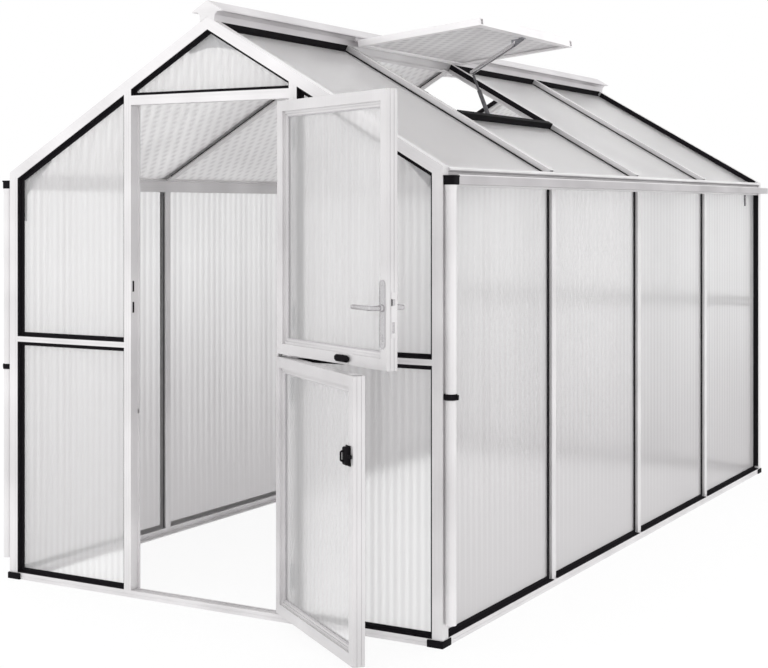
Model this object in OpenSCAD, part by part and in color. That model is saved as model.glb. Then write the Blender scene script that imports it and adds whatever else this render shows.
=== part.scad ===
// Greenhouse with an aluminium frame, twin-wall glazing, a split door and a roof vent.
// X runs along the gables, Y along the side walls, Z is up. The origin is the middle of
// the footprint on the ground. The door is in the gable that faces -Y. One roof vent is in
// the slope that faces +X, in the second bay from the door, and the other is in the slope that
// faces -X, in the second bay from the rear. The leaves and the vents are drawn open.

/* [House] */
// Width over the corner posts
width = 2050; // [1900:10:2400]
// Depth over the corner posts
depth = 4050; // [3800:10:4600]
// Height of the inner corner between post and rafter
eave_h = 1678; // [1600:1:1900]
// Pitch of the roof in degrees
roof_pitch = 30; // [26:1:34]
// Number of bays along each side
bays = 4; // [4:1:6]

/* [Frame profiles] */
// Face width and depth of the corner posts and rafters
post_w = 43; // [42:0.5:50]
// Face width of the door posts
door_post_w = 35; // [32:0.5:45]
// Depth of the door posts
door_post_d = 55; // [48:1:70]
// Face width of the bars between two panes
bar_w = 38; // [34:1:50]
// Distance of the wall bars behind the posts' outer face
bar_set = 10; // [6:0.5:14]
// Distance of the roof bars below the rafters' outer face
roof_bar_set = 2; // [1:0.5:6]
// Height of the rails at half height
rail_h = 22; // [20:1:40]
// Height of the underside of the rails at half height
rail_z = 995; // [900:5:1100]
// Height of the sill profile
sill_h = 28; // [24:1:40]
// Width of the sill body
sill_w = 46; // [46:1:60]
// Width of the sill's inner foot flange
sill_flange = 30; // [25:1:50]
// Wall thickness of the hollow profiles
wall = 3; // [2:0.1:3.4]
// Depth of the panes behind the outer faces
recess = 26; // [24:0.5:28]
// Depth of the inner flange behind the panes
flange_d = 10; // [8:0.5:14]
// Distance of the eave beams' underside below the inner corner
beam_drop = 48; // [42:1:70]

/* [Glazing] */
// Thickness of the twin-wall sheet
panel_t = 10; // [8:0.5:10]
// Depth of the slot that holds an edge
slot_d = 6; // [5:0.5:7]
// Clearance between a sheet's faces and its slot
slot_gap = 0.25; // [0.1:0.05:0.4]
// Clearance between a sheet's edge and the slot's floor
edge_gap = 0.3; // [0.2:0.05:0.5]
// Width of the black seal on a sheet's face
seal_lip = 17; // [10:1:24]
// Thickness of the black seal
seal_t = 3; // [2:0.5:4]

/* [Doorway] */
// Clear width between the door posts
door_w = 752; // [700:2:800]
// Clearance between the header's ends and the rafters above them
header_gap = 25.9; // [10:0.1:60]
// Height of the door header
header_h = 37; // [30:1:50]
// Thickness of a leaf
leaf_t = 42; // [38:0.5:42]
// Face width of a leaf's frame
leaf_face = 48; // [44:1:60]
// Width of the step round a leaf's pane
step_w = 9; // [6.5:0.5:9]
// Depth of the step round a leaf's pane
step_d = 8; // [4:0.5:10]
// Gap between a leaf and the post on the hinge side
hinge_gap = 6; // [6:0.5:9]
// Gap between a leaf and the post on the latch side
latch_gap = 6; // [5:0.5:8]
// Height of the lower leaf's underside
lower_z = 50; // [40:1:60]
// Height of the joint between the leaves
split_z = 1003; // [960:1:1040]
// Gap between the leaves
split_gap = 11; // [8:0.5:12]
// Gap above the upper leaf
top_gap = 15; // [10:1:20]
// Distance of the hinge axis in front of the gable
hinge_out = 7; // [6.8:0.1:7.4]
// Distance of the leaves' outer face behind the hinge axis
leaf_drop = 6; // [5.6:0.1:6.6]
// Width of the door stops
stop_w = 8; // [6:0.5:10]
// Thickness of the door stops
stop_t = 7; // [5:0.5:8]
// Opening angle of the upper leaf as drawn
upper_open = 153; // [120:1:160]
// Opening angle of the lower leaf as drawn
lower_open = 143.7; // [120:1:160]
// Radius of the hinge pins
hinge_pin_r = 3; // [2.5:0.1:3.5]
// Radius of the hinge knuckles
knuckle_r = 6.5; // [5.6:0.1:6.6]
// Height of one hinge
hinge_h = 90; // [70:2:120]

/* [Lock and latches] */
// Distance of the lever and the key from the leaf's free edge
backset = 26; // [22:1:26]
// Height of the lever's spindle
lever_z = 1222; // [1180:1:1240]
// Length of the lever
lever_l = 112; // [100:1:140]
// Radius of the lever
lever_r = 9; // [6:0.5:10]
// Distance of the lever from the leaf's face
lever_out = 45; // [35:1:60]
// Height of the key's axis
key_z = 1122; // [1110:1:1125]
// Width of the handle plates
plate_w = 34; // [28:1:38]
// Bottom of the handle plates
plate_z0 = 1085; // [1075:1:1095]
// Top of the handle plates
plate_z1 = 1316; // [1290:1:1340]
// Thickness of the handle and strike plates
plate_t = 2; // [1.5:0.1:3]
// How far the dead bolt travels
bolt_travel = 18; // [12:1:18]
// Distance of the turn button from the hinge axis
knob_s = 471; // [300:1:560]
// Length of the turn button
knob_l = 90; // [84:1:100]
// Width of the turn button
knob_w = 24; // [20:1:28]
// Height of the lower leaf's latch
lower_latch_z = 739; // [600:1:800]
// How far the lower leaf's latch travels
lower_travel = 14; // [10:1:14]

/* [Roof vent] */
// Distance of the vent's hinge from the ridge line
vent_hinge_x = 62; // [60:0.5:66]
// Length of the lid from hinge to outer edge
lid_l = 617; // [560:1:700]
// Thickness of the lid
lid_t = 30; // [28:0.5:31]
// Face width of the lid's rails
lid_rail = 35; // [30:1:45]
// Angle of the open lid above the horizontal
lid_rise = 5.8; // [0:0.1:10]
// Distance of the opener's outer pivots from the lid's outer edge
opener_in = 79; // [75:1:90]
// How much longer the two opener arms are than half the way between the shut pivots
arm_extra = 60.41; // [50:0.5:80]
// Angle of the opener's lower pivot below the horizontal
opener_drop = 39; // [38.5:0.1:40]
// Radius of the opener's pins
arm_pin_r = 3; // [2.5:0.1:4]
// Thickness of the lower opener arm
arm_t = 5; // [4:0.5:6]

/* [Ridge, gutters and pipes] */
// Height of the ridge cap above the rafters' apex
cap_h = 63; // [55:1:75]
// Half width of the ridge cap
cap_w = 72; // [71:0.5:78]
// How far the ridge cap runs past the rear gable
cap_over = 7; // [0:1:20]
// Radius of the bead that carries the vent
bead_r = 5; // [4:0.25:5.5]
// Width of a gutter from the eave beam outwards
gutter_w = 51; // [49:1:60]
// Height of a gutter's front wall
gutter_h = 31; // [28:1:40]
// Height of a gutter's underside above the eave beams' underside
gutter_rise = 8; // [4:1:10]
// Wall thickness of a gutter
gutter_t = 2.5; // [1.5:0.1:3]
// Radius of a downpipe
pipe_r = 20; // [16:0.5:20]
// Height of a downpipe's lower end
pipe_z = 83; // [60:1:150]
// Height of a downpipe's clip
clip_z = 887; // [600:1:1200]

/* [Anchors] */
// Radius of an anchor hole in the sill's foot flange
anchor_r = 4.5; // [4:0.1:6]
// Distance of the anchor holes from each gable
anchor_end = 300; // [200:5:600]

/* [Hidden] */

// Sides on the round faces
round_n = 40;
// Halves of the footprint
hw = width / 2;
hd = depth / 2;
// Sine, cosine and tangent of the roof pitch
sn = sin(roof_pitch);
cs = cos(roof_pitch);
tn = tan(roof_pitch);
// Height of the outer corner between post and rafter
corner_z = eave_h - post_w * tn + post_w / cs;
// Slope length from the outer corner to the ridge line
slope_l = hw / cs;
// Height of the rafters' outer apex
apex_z = corner_z + hw * tn;
// Clearance at a seat between two pieces of one body
seat = 0.1;
// Running clearance round a pin
run_gap = 0.05;
// Free play beside a moving plate
side_play = 0.5;
// Back of the panes and back of the inner flanges
pane_back = recess + panel_t;
flange_back = pane_back + flange_d;
// Half width of a bar's web
web_half = bar_w / 2 - slot_d;
// Underside of the eave beams and of the gutters
eave_beam_z = eave_h - beam_drop;
gutter_z = eave_beam_z + gutter_rise;
// Inner edges of the corner posts and edges of the door posts
post_in = hw - post_w;
door_in = door_w / 2;
door_out = door_in + door_post_w;
// Top of the rails and of the header
rail_top = rail_z + rail_h;
header_top = rafter_under(door_in) - header_gap;
header_z = header_top - header_h;
// Centres of the bars along Y
bay_l = depth / bays;
bar_ys = [for (i = [1:bays - 1]) -hd + i * bay_l];
// Second bay from the door holds the right slope's vent; the left one is its half turn
vent_y0 = -hd + bay_l;
vent_y1 = -hd + 2 * bay_l;
vent_mid = (vent_y0 + vent_y1) / 2;
// Hinge axis of the leaves
hinge_x = door_in;
hinge_y = -hd - hinge_out;
// Leaf edges measured from the hinge axis
leaf_s0 = hinge_gap;
leaf_s1 = hinge_x + door_in - latch_gap;
// Place of a closed leaf's outer face along Y
closed_y = hinge_y + leaf_drop;
// Leaf edges in height
upper_z0 = split_z + split_gap;
upper_z1 = header_z - top_gap;
// Slot of a leaf measured outwards from the axis
leaf_pane_n = -(leaf_t + panel_t) / 2;
// Spindle and bolts
lock_s = leaf_s1 - backset;
bolt_n = -17;
bolt_t = 10;
latch_z = lever_z + 19;
latch_h = 20;
dead_z = lever_z - 65;
dead_h = 36;
latch_out = 2.5;
strike_slot_h = 44;
// Height of the turn button
knob_z = upper_z0 + 21;
// Roof vent hinge
vent_hinge_z = apex_z - vent_hinge_x * tn + 38.2;
vent_s = (hw - vent_hinge_x) * cs + (vent_hinge_z - corner_z) * sn;
vent_w = (hw - vent_hinge_x) * sn - (vent_hinge_z - corner_z) * cs;
vent_sill_s0 = vent_s - lid_l - 2;
vent_sill_w = 28;
vent_sill_s1 = vent_sill_s0 + vent_sill_w;
vent_open = lid_rise + roof_pitch;
// Opener pivots: a on the house, b on the lid, c at the knee
opener_r = lid_l - opener_in;
half_open = opener_drop / 2;
arm_l = opener_r * sin(half_open) + arm_extra;
knee_h = opener_r * cos(half_open) - sqrt(pow(arm_l, 2) - pow(opener_r * sin(half_open), 2));
pivot_a = [vent_hinge_x + opener_r * cos(opener_drop), vent_hinge_z - opener_r * sin(opener_drop)];
pivot_b = [vent_hinge_x + opener_r, vent_hinge_z];
pivot_c = [vent_hinge_x + knee_h * cos(half_open), vent_hinge_z - knee_h * sin(half_open)];
// Ridge beam face
ridge_s = slope_l - 38;
// Height of the ridge cap's apex and underside
cap_z = apex_z + cap_h;
cap_under = cap_z - cap_w * tn - 4;
cap_foot = 33;
// Eave beam
beam_set = 8;
beam_nose = 14;
beam_shelf = 40;
// Downpipe axis
pipe_x = hw + pipe_r + 3;
pipe_y = -hd + 18;
outlet_l = 46;
// Wall bracket: distance from the rear and height
bracket_y = 236;
bracket_h = 64;
// Gusset legs, and distance of the hinges from a leaf's ends
gusset_l = 130;
hinge_end = 130;
eye_r = 9;
gusset_t = 3;
bolt_r = 3;
head_r = 6;
head_h = 4;
groove = 1.5;

// Height of the rafters' lower edge at a place along the gable
function rafter_under(x) = eave_h + (post_in - abs(x)) * tn;
// Point of the right slope: s up the slope from the outer corner, w below the outer face
function on_roof(s, w) = [hw - s * cs - w * sn, corner_z + s * sn - w * cs];
function unit(v) = v / norm(v);
function left_of(v) = [-v[1], v[0]];
// Moves each edge of an outline inwards; the outline runs anticlockwise
function inset(pts, d) = let (n = len(pts)) [for (i = [0:n - 1])
    let (a = left_of(unit(pts[i] - pts[(i + n - 1) % n])),
         b = left_of(unit(pts[(i + 1) % n] - pts[i])))
    pts[i] + d * (a + b) / (1 + a * b)];
function rect(x0, z0, x1, z1) = [[x0, z0], [x1, z0], [x1, z1], [x0, z1]];
function mirrored(pts) = [for (i = [len(pts) - 1:-1:0]) [-pts[i][0], pts[i][1]]];

// Pane openings of the gables
side_low = rect(door_out, sill_h, post_in, rail_z);
side_high = [[door_out, rail_top], [post_in, rail_top], [post_in, eave_h],
    [door_out, rafter_under(door_out)]];
gable_top = [[-door_in, header_top], [door_in, header_top], [door_in, rafter_under(door_in)],
    [0, rafter_under(0)], [-door_in, rafter_under(door_in)]];
mid_low = rect(-door_in, sill_h, door_in, rail_z);
mid_high = [[-door_in, rail_top], [door_in, rail_top], [door_in, rafter_under(door_in)],
    [0, rafter_under(0)], [-door_in, rafter_under(door_in)]];
sides = [side_low, side_high, mirrored(side_low), mirrored(side_high)];
front_panes = concat(sides, [gable_top]);
rear_panes = concat(sides, [mid_low, mid_high]);

module at_rear() { mirror([0, 1, 0]) children(); }
module both_ends() { children(); at_rear() children(); }
module both_sides() { children(); mirror([1, 0, 0]) children(); }
module half_turn() { rotate([0, 0, 180]) children(); }
module both_slopes() { children(); half_turn() children(); }
// Extrudes an outline drawn in X and Z from depth v0 to depth v1 behind the front gable
module behind(v0, v1) {
    translate([0, -hd + v1, 0]) rotate([90, 0, 0]) linear_extrude(v1 - v0) children();
}
// Extrudes an outline drawn in X and Z over a range of Y
module along_y(y0, y1) {
    translate([0, y1, 0]) rotate([90, 0, 0]) linear_extrude(y1 - y0) children();
}
module box(x0, y0, z0, x1, y1, z1) {
    translate([x0, y0, z0]) cube([x1 - x0, y1 - y0, z1 - z0]);
}
// Rod between two points in X and Z, along Y
module rod_y(p, r, y0, y1) {
    translate([p[0], y1, p[1]]) rotate([90, 0, 0]) cylinder(r = r, h = y1 - y0, $fn = round_n);
}
module pane_slots(panes) {
    for (p = panes) behind(recess - slot_gap, pane_back + slot_gap) polygon(inset(p, -slot_d));
}
// Local frame of a leaf: x from the hinge axis to the free edge, y outwards from its face
module on_leaf(open) {
    translate([hinge_x, hinge_y, 0]) rotate([0, 0, 180 + open]) translate([0, -leaf_drop, 0])
        children();
}
// Local frame of the lid: x from its hinge outwards, z up through its top
module on_lid() {
    translate([vent_hinge_x, 0, vent_hinge_z]) rotate([0, -lid_rise, 0]) children();
}

// Sills and base
module sill_profile() {
    difference() {
        union() {
            square([sill_w, sill_h]);
            square([sill_w + sill_flange, 4]);
        }
        translate([recess - slot_gap, sill_h - slot_d])
            square([panel_t + 2 * slot_gap, slot_d + 1]);
        translate([wall, 4]) square([recess - slot_gap - 2 * wall, sill_h - 4 - wall]);
        translate([-1, sill_h / 2 - groove]) square([1 + groove, 2 * groove]);
    }
}
module mitred_sill(l) {
    reach = sill_w + sill_flange;
    intersection() {
        translate([-l, 0, 0]) rotate([90, 0, 90]) linear_extrude(2 * l) sill_profile();
        translate([0, 0, -1]) linear_extrude(sill_h + 2)
            polygon([[-l, 0], [l, 0], [l - reach, reach], [-l + reach, reach]]);
    }
}
module gable_sills() {
    color("gainsboro") {
        difference() {
            translate([0, -hd, 0]) mitred_sill(hw);
            for (v = [8, 15])
                box(-door_in, -hd + v, sill_h - groove, door_in, -hd + v + 3, sill_h + 1);
        }
        at_rear() translate([0, -hd, 0]) mitred_sill(hw);
    }
}
module side_sills() {
    color("gainsboro") both_sides() difference() {
        translate([-hw, 0, 0]) rotate([0, 0, -90]) mitred_sill(hd);
        for (y = [-hd + anchor_end, hd - anchor_end])
            translate([-hw + sill_w + sill_flange / 2, y, -1])
                cylinder(r = anchor_r, h = 6, $fn = round_n);
    }
}
module base_corner_caps() {
    out = 8;
    side_out = 4;
    leg = 60;
    color("dimgray") both_sides() both_ends() translate([hw, -hd, 0]) difference() {
        translate([-leg, -out, 0]) cube([leg + side_out, leg + out, sill_h - 2]);
        translate([-leg - 1, 0, -1]) cube([leg + 1, leg + 1, sill_h]);
    }
}

// Frame of the gables
module corner_posts() {
    core = recess - slot_gap - 2 * wall;
    color("gainsboro") both_sides() both_ends() difference() {
        intersection() {
            translate([hw, -hd, sill_h]) mirror([1, 0, 0]) linear_extrude(eave_h) difference() {
                square(post_w);
                translate([wall, wall]) square(core);
                translate([post_w - slot_d, recess - slot_gap])
                    square([slot_d + 1, panel_t + 2 * slot_gap]);
                translate([recess - slot_gap, post_w - slot_d])
                    square([panel_t + 2 * slot_gap, slot_d + 1]);
                translate([post_w * 0.72, -1]) square([groove, 1 + groove / 2]);
                translate([-1, post_w * 0.72]) square([1 + groove / 2, groove]);
            }
            behind(-1, post_w + 1) polygon([[post_in, 0], [hw + 1, 0], [hw + 1, corner_z + tn],
                [post_in, eave_h]]);
        }
        slope_slot();
    }
}
// Slot along the slope that holds the roof sheets' side edges
module slope_slot() {
    behind(post_w - slot_d, post_w + 2) polygon([on_roof(6, recess - slot_gap),
        on_roof(slope_l + 30, recess - slot_gap), on_roof(slope_l + 30, pane_back + slot_gap),
        on_roof(6, pane_back + slot_gap)]);
}
module rafter() {
    core = recess - slot_gap - wall;
    difference() {
        behind(0, post_w) polygon([[post_in, eave_h], [hw, corner_z],
            [seat / 2, apex_z - seat / 2 * tn], [seat / 2, rafter_under(seat / 2)]]);
        behind(wall, core) polygon([on_roof(-20, wall), on_roof(-20, core),
            on_roof(slope_l + 20, core), on_roof(slope_l + 20, wall)]);
        slope_slot();
        children();
    }
}
module gable_rafters() {
    color("gainsboro") {
        both_sides() rafter() pane_slots(front_panes);
        at_rear() both_sides() rafter() pane_slots(rear_panes);
    }
}
module door_post() {
    difference() {
        behind(0, door_post_d) polygon([[door_in, sill_h], [door_out, sill_h],
            [door_out, rafter_under(door_out)], [door_in, rafter_under(door_in)]]);
        behind(wall, door_post_d - wall) polygon([[door_in + slot_d + wall, 0],
            [door_out - slot_d - wall, 0], [door_out - slot_d - wall, apex_z],
            [door_in + slot_d + wall, apex_z]]);
        behind(-1, groove / 2) polygon(rect(door_in + 10, 0, door_in + 10 + groove, apex_z));
        behind(-1, groove / 2) polygon(rect(door_out - 12, 0, door_out - 12 + groove, apex_z));
    }
}
module door_posts() {
    keep = 14;
    color("gainsboro") difference() {
        both_sides() union() {
            door_post();
            behind(post_w, post_w + stop_t)
                polygon(rect(door_in - stop_w, sill_h, door_in + 1, header_z));
        }
        pane_slots(front_panes);
        // pockets in the latch side post for the strike plate, the bolts and the lower latch
        strike_space(plate_t + seat, seat);
        for (z = [dead_z, latch_z]) box(-door_in - keep - 3, strike_y - 6, z - strike_slot_h / 2,
            -door_in + 1, strike_y + 6, z + strike_slot_h / 2);
        box(-door_in - keep, lower_latch_y - 5, lower_latch_z - 8,
            -door_in + stop_w + 1, lower_latch_y + 5, lower_latch_z + 8);
    }
}
module rear_gable_posts() {
    color("gainsboro") at_rear() difference() {
        both_sides() door_post();
        pane_slots(rear_panes);
    }
}
module door_header() {
    color("gainsboro") difference() {
        behind(0, post_w) polygon(rect(-door_in, header_z, door_in, header_top));
        behind(wall, post_w - wall) polygon(rect(-hw, header_z + wall, hw,
            header_top - slot_d - wall));
        behind(-1, groove / 2) polygon(rect(-door_in - 1, header_top - 12, door_in + 1,
            header_top - 12 + groove));
        pane_slots(front_panes);
    }
}
module rail(x0, x1) {
    core = recess - slot_gap - wall;
    difference() {
        behind(0, post_w) polygon(rect(x0, rail_z, x1, rail_top));
        behind(wall, core) polygon(rect(x0 - 1, rail_z + wall, x1 + 1, rail_top - wall));
        behind(-1, groove) polygon(rect(x0 - 1, (rail_z + rail_top) / 2 - 1, x1 + 1,
            (rail_z + rail_top) / 2 + 1));
        children();
    }
}
module mid_rails() {
    color("gainsboro") {
        both_sides() rail(door_out, post_in) pane_slots(front_panes);
        at_rear() {
            both_sides() rail(door_out, post_in) pane_slots(rear_panes);
            rail(-door_in, door_in) pane_slots(rear_panes);
        }
    }
}

// Eaves and ridge
module eave_beams() {
    low = recess - slot_gap;
    high = pane_back + slot_gap;
    under = flange_back - 2;
    face = hw - beam_set;
    color("gainsboro") both_sides() difference() {
        along_y(-hd + post_w, hd - post_w) polygon([
            [face, eave_beam_z],
            [face, gutter_z + gutter_h + 14], [face + 8, gutter_z + gutter_h + 14],
            [face + 16, gutter_z + gutter_h + 20], [face + 16, gutter_z + gutter_h + 26],
            [face + 10, corner_z - 3],
            [face, on_roof(0, beam_set)[1] + (beam_set - beam_set * sn) * tn],
            on_roof(beam_nose, beam_set), on_roof(beam_nose, low),
            on_roof(beam_nose - slot_d, low), on_roof(beam_nose - slot_d, high),
            on_roof(beam_shelf, high), on_roof(beam_shelf, under),
            [hw - flange_back, on_roof(0, under)[1] + (flange_back - under * sn) * tn],
            [hw - flange_back, eave_beam_z]]);
        along_y(-hd, hd) polygon(rect(hw - high, eave_beam_z - 1, hw - low,
            eave_beam_z + slot_d));
    }
}
module ridge_beam() {
    low = recess - slot_gap;
    high = pane_back + slot_gap;
    half = [[0, apex_z], on_roof(ridge_s, 0), on_roof(ridge_s, low),
        on_roof(ridge_s + slot_d, low), on_roof(ridge_s + slot_d, high), on_roof(ridge_s, high),
        on_roof(ridge_s, flange_back), [0, apex_z - flange_back / cs]];
    color("gainsboro") difference() {
        along_y(-hd + post_w, hd - post_w)
            polygon(concat(half, [for (q = mirrored(half)) if (q[0] < 0) q]));
        along_y(-hd, hd) polygon([[0, apex_z - wall / cs - 1], [-8, apex_z - 14],
            [-5, apex_z - 40], [5, apex_z - 40], [8, apex_z - 14]]);
    }
}
module cap_half() {
    polygon([[0, apex_z], [cap_foot, apex_z - cap_foot * tn], [cap_foot + 3, cap_under - 12],
        [cap_foot + 15, cap_under], [cap_w, cap_under], [cap_w, cap_under + 4], [0, cap_z]]);
}
module ridge_cap() {
    core = 6;
    color("gainsboro") union() {
        difference() {
            along_y(-hd, hd + cap_over) union() {
                cap_half();
                mirror([1, 0]) cap_half();
            }
            along_y(-hd - 1, hd + cap_over + 1) polygon([[0, cap_z - core],
                [-cap_w + 24, cap_z - core - (cap_w - 24) * tn], [-cap_foot + 5, apex_z + 4],
                [cap_foot - 5, apex_z + 4], [cap_w - 24, cap_z - core - (cap_w - 24) * tn]]);
        }
        // beads and webs that carry the vents
        both_slopes() {
            rod_y([vent_hinge_x, vent_hinge_z], bead_r, vent_y0 + 2, vent_y1 - 2);
            box(vent_hinge_x - 1.5, vent_y0 + 2, vent_hinge_z, vent_hinge_x + 1.5,
                vent_y1 - 2, cap_under + 1);
        }
    }
}

// Bars between the panes
module wall_bar(y) {
    u0 = recess - slot_gap;
    u1 = pane_back + slot_gap;
    difference() {
        union() {
            box(hw - u0, y - bar_w / 2, sill_h, hw - bar_set, y + bar_w / 2, eave_beam_z);
            box(hw - u1, y - web_half, sill_h, hw - u0, y + web_half, eave_beam_z);
            box(hw - flange_back, y - bar_w / 2, sill_h, hw - u1, y + bar_w / 2, eave_beam_z);
        }
        box(hw - u0 + 2, y - bar_w / 2 + wall, sill_h - 1, hw - bar_set - 2, y + bar_w / 2 - wall,
            eave_beam_z + 1);
        for (d = [-7, 7]) box(hw - bar_set - groove / 2, y + d - groove / 2, sill_h - 1,
            hw - bar_set + 1, y + d + groove / 2, eave_beam_z + 1);
    }
}
module wall_bars() {
    color("gainsboro") both_sides() for (y = bar_ys) wall_bar(y);
}
module roof_bar(y) {
    w0 = recess - slot_gap;
    w1 = pane_back + slot_gap;
    low = beam_nose + 6;
    difference() {
        union() {
            roof_strip(low, ridge_s, roof_bar_set, w0, y, bar_w / 2);
            roof_strip(low, beam_shelf + 1, w0 - 1, w1 - seat, y, web_half);
            roof_strip(beam_shelf + seat, ridge_s, w0 - 1, w1 + 1, y, web_half);
            roof_strip(beam_shelf + seat, ridge_s, w1, flange_back, y, bar_w / 2);
        }
        roof_strip(low - 9, ridge_s + 9, roof_bar_set + wall, w0 - wall, y, bar_w / 2 - wall);
        for (d = [-7, 7]) roof_strip(low - 9, ridge_s + 9, roof_bar_set - 1,
            roof_bar_set + groove / 2, y + d, groove / 2);
    }
}
// Flat strip of the right slope from s0 to s1 and w0 to w1, centred on y
module roof_strip(s0, s1, w0, w1, y, half) {
    along_y(y - half, y + half) polygon([on_roof(s0, w0), on_roof(s1, w0), on_roof(s1, w1),
        on_roof(s0, w1)]);
}
module roof_bars() {
    color("gainsboro") both_sides() for (y = bar_ys) roof_bar(y);
}

// Glazing
function bay_start(i) = i == 0 ? -hd + post_w - slot_d + edge_gap
    : -hd + i * bay_l + web_half + edge_gap;
function bay_end(i) = i == bays - 1 ? hd - post_w + slot_d - edge_gap
    : -hd + (i + 1) * bay_l - web_half - edge_gap;
module gable_sheets(panes) {
    for (p = panes) behind(recess, pane_back) polygon(inset(p, edge_gap - slot_d));
}
module front_gable_panels() { color("whitesmoke", 0.6) gable_sheets(front_panes); }
module rear_gable_panels() { color("whitesmoke", 0.6) at_rear() gable_sheets(rear_panes); }
module wall_sheets() {
    for (i = [0:bays - 1]) box(hw - pane_back, bay_start(i), sill_h - slot_d + edge_gap,
        hw - recess, bay_end(i), eave_beam_z + slot_d - edge_gap);
}
module wall_panels() { color("whitesmoke", 0.6) both_sides() wall_sheets(); }
module roof_sheet(i, s1) {
    roof_strip(beam_nose - slot_d + edge_gap, s1, recess, pane_back,
        (bay_start(i) + bay_end(i)) / 2, (bay_end(i) - bay_start(i)) / 2);
}
module roof_panels() {
    color("whitesmoke", 0.6) both_slopes() for (i = [0:bays - 1])
        roof_sheet(i, i == 1 ? vent_sill_s0 + slot_d - edge_gap : ridge_s + slot_d - edge_gap);
}

// Black seals: a leg that lines the reveal and a lip on the sheet
module reveal_seal(p, lip = seal_lip) {
    behind(groove, recess - seal_t) difference() {
        polygon(inset(p, seat / 2));
        polygon(inset(p, seal_t));
    }
    behind(recess - seal_t, recess) difference() {
        polygon(inset(p, seat / 2));
        polygon(inset(p, lip));
    }
}
module gable_seals() {
    color("dimgray") {
        for (p = sides) reveal_seal(p);
        reveal_seal(gable_top, seal_lip * 0.75);
        at_rear() for (p = rear_panes) reveal_seal(p);
    }
}
// Lip beside a bar or a post on the right wall, from y towards +Y
module wall_lip(y) {
    box(hw - recess, y, sill_h + seal_lip, hw - recess + seal_t, y + seal_lip, eave_beam_z);
}
module wall_seals() {
    color("dimgray") both_sides() {
        both_ends() {
            wall_lip(-hd + post_w);
            box(hw - recess + seal_t, -hd + post_w, sill_h + seal_lip, hw - groove,
                -hd + post_w + seal_t, eave_beam_z);
        }
        for (y = bar_ys) {
            wall_lip(y + bar_w / 2);
            wall_lip(y - bar_w / 2 - seal_lip);
        }
        for (i = [0:bays - 1]) {
            y0 = i == 0 ? -hd + post_w : -hd + i * bay_l + bar_w / 2;
            y1 = i == bays - 1 ? hd - post_w : -hd + (i + 1) * bay_l - bar_w / 2;
            box(hw - recess, y0, sill_h, hw - groove, y1, sill_h + seal_t);
            box(hw - recess, y0, sill_h + seal_t, hw - recess + seal_t, y1, sill_h + seal_lip);
        }
    }
}
// Lip of the right slope beside a member whose face is at y, from y towards +Y
module roof_lip(y, s0, s1) {
    roof_strip(s0, s1, recess - seal_t, recess - seat / 4, y + seal_lip / 2, seal_lip / 2);
}
module roof_seals() {
    s0 = beam_nose + seat / 2;
    s1 = ridge_s - seat / 2;
    top = s1 - seal_lip;
    color("dimgray") {
        both_sides() both_ends() {
            roof_lip(-hd + post_w, s0, top);
            roof_strip(s0 + 6, top, groove, recess - seal_t, -hd + post_w + seal_t / 2,
                seal_t / 2);
        }
        both_slopes() {
            for (i = [0:bays - 1]) {
                vent = i == 1;
                y0 = i == 0 ? -hd + post_w : -hd + i * bay_l + bar_w / 2;
                y1 = i == bays - 1 ? hd - post_w : -hd + (i + 1) * bay_l - bar_w / 2;
                // beside the bars
                if (i > 0) roof_lip(y0, s0, vent ? vent_sill_s0 : top);
                if (i < bays - 1) roof_lip(y1 - seal_lip, s0, vent ? vent_sill_s0 : top);
                // under the ridge cap, or down the sides of the vent opening
                if (vent) {
                    for (y = [y0 + seal_t / 2, y1 - seal_t / 2])
                        roof_strip(vent_sill_s1, s1, roof_bar_set, recess, y, seal_t / 2);
                } else {
                    roof_strip(s1 - seal_t, s1, 0.5, recess - seal_t, (y0 + y1) / 2,
                        (y1 - y0) / 2);
                    roof_strip(top, s1, recess - seal_t, recess - seat / 4, (y0 + y1) / 2,
                        (y1 - y0) / 2);
                }
            }
        }
    }
}

// Gutters and downpipes
module gutters() {
    x0 = hw - beam_set;
    x1 = x0 + gutter_w;
    t = gutter_t;
    color("gainsboro") both_sides() difference() {
        along_y(-hd + outlet_l, hd + 4 - t) union() {
            polygon(rect(x0, gutter_z, x1, gutter_z + t));
            polygon(rect(x0, gutter_z, x0 + t, gutter_z + gutter_h + 10));
            polygon(rect(x1 - t, gutter_z, x1, gutter_z + gutter_h));
            polygon(rect(x1 - t - 4, gutter_z + gutter_h - t, x1, gutter_z + gutter_h));
        }
        // room for the rear corner post
        box(x0 - 1, hd - post_w - seat, gutter_z - 1, hw + seat, hd + 5,
            gutter_z + gutter_h + 11);
    }
}
module gutter_outlets() {
    x1 = hw - beam_set + gutter_w;
    color("dimgray") both_sides() difference() {
        union() {
            box(hw + 0.3, -hd + 3, gutter_z - 2, x1 + 0.5, -hd + outlet_l, gutter_z + gutter_h);
            box(hw - beam_set + gutter_t + seat, -hd + outlet_l, gutter_z + gutter_t + seat,
                x1 - gutter_t - seat, -hd + outlet_l + 12, gutter_z + gutter_t + 4);
        }
        box(hw + 4, -hd + 8, gutter_z + 6, x1 - 4, -hd + outlet_l - 4, gutter_z + gutter_h + 1);
        translate([pipe_x, pipe_y + 6, gutter_z - 3])
            cylinder(r = pipe_r - 5, h = 20, $fn = round_n);
    }
}
module gutter_end_caps() {
    x1 = hw - beam_set + gutter_w;
    color("gainsboro") both_sides() box(hw - beam_set, hd + 4 - gutter_t, gutter_z, x1, hd + 4,
        gutter_z + gutter_h + 2);
}
module downpipes() {
    color("gainsboro") both_sides() translate([pipe_x, pipe_y, pipe_z]) difference() {
        cylinder(r = pipe_r, h = gutter_z - 2 - pipe_z, $fn = round_n);
        translate([0, 0, -1]) cylinder(r = pipe_r - 1.5, h = gutter_z, $fn = round_n);
    }
}
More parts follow.
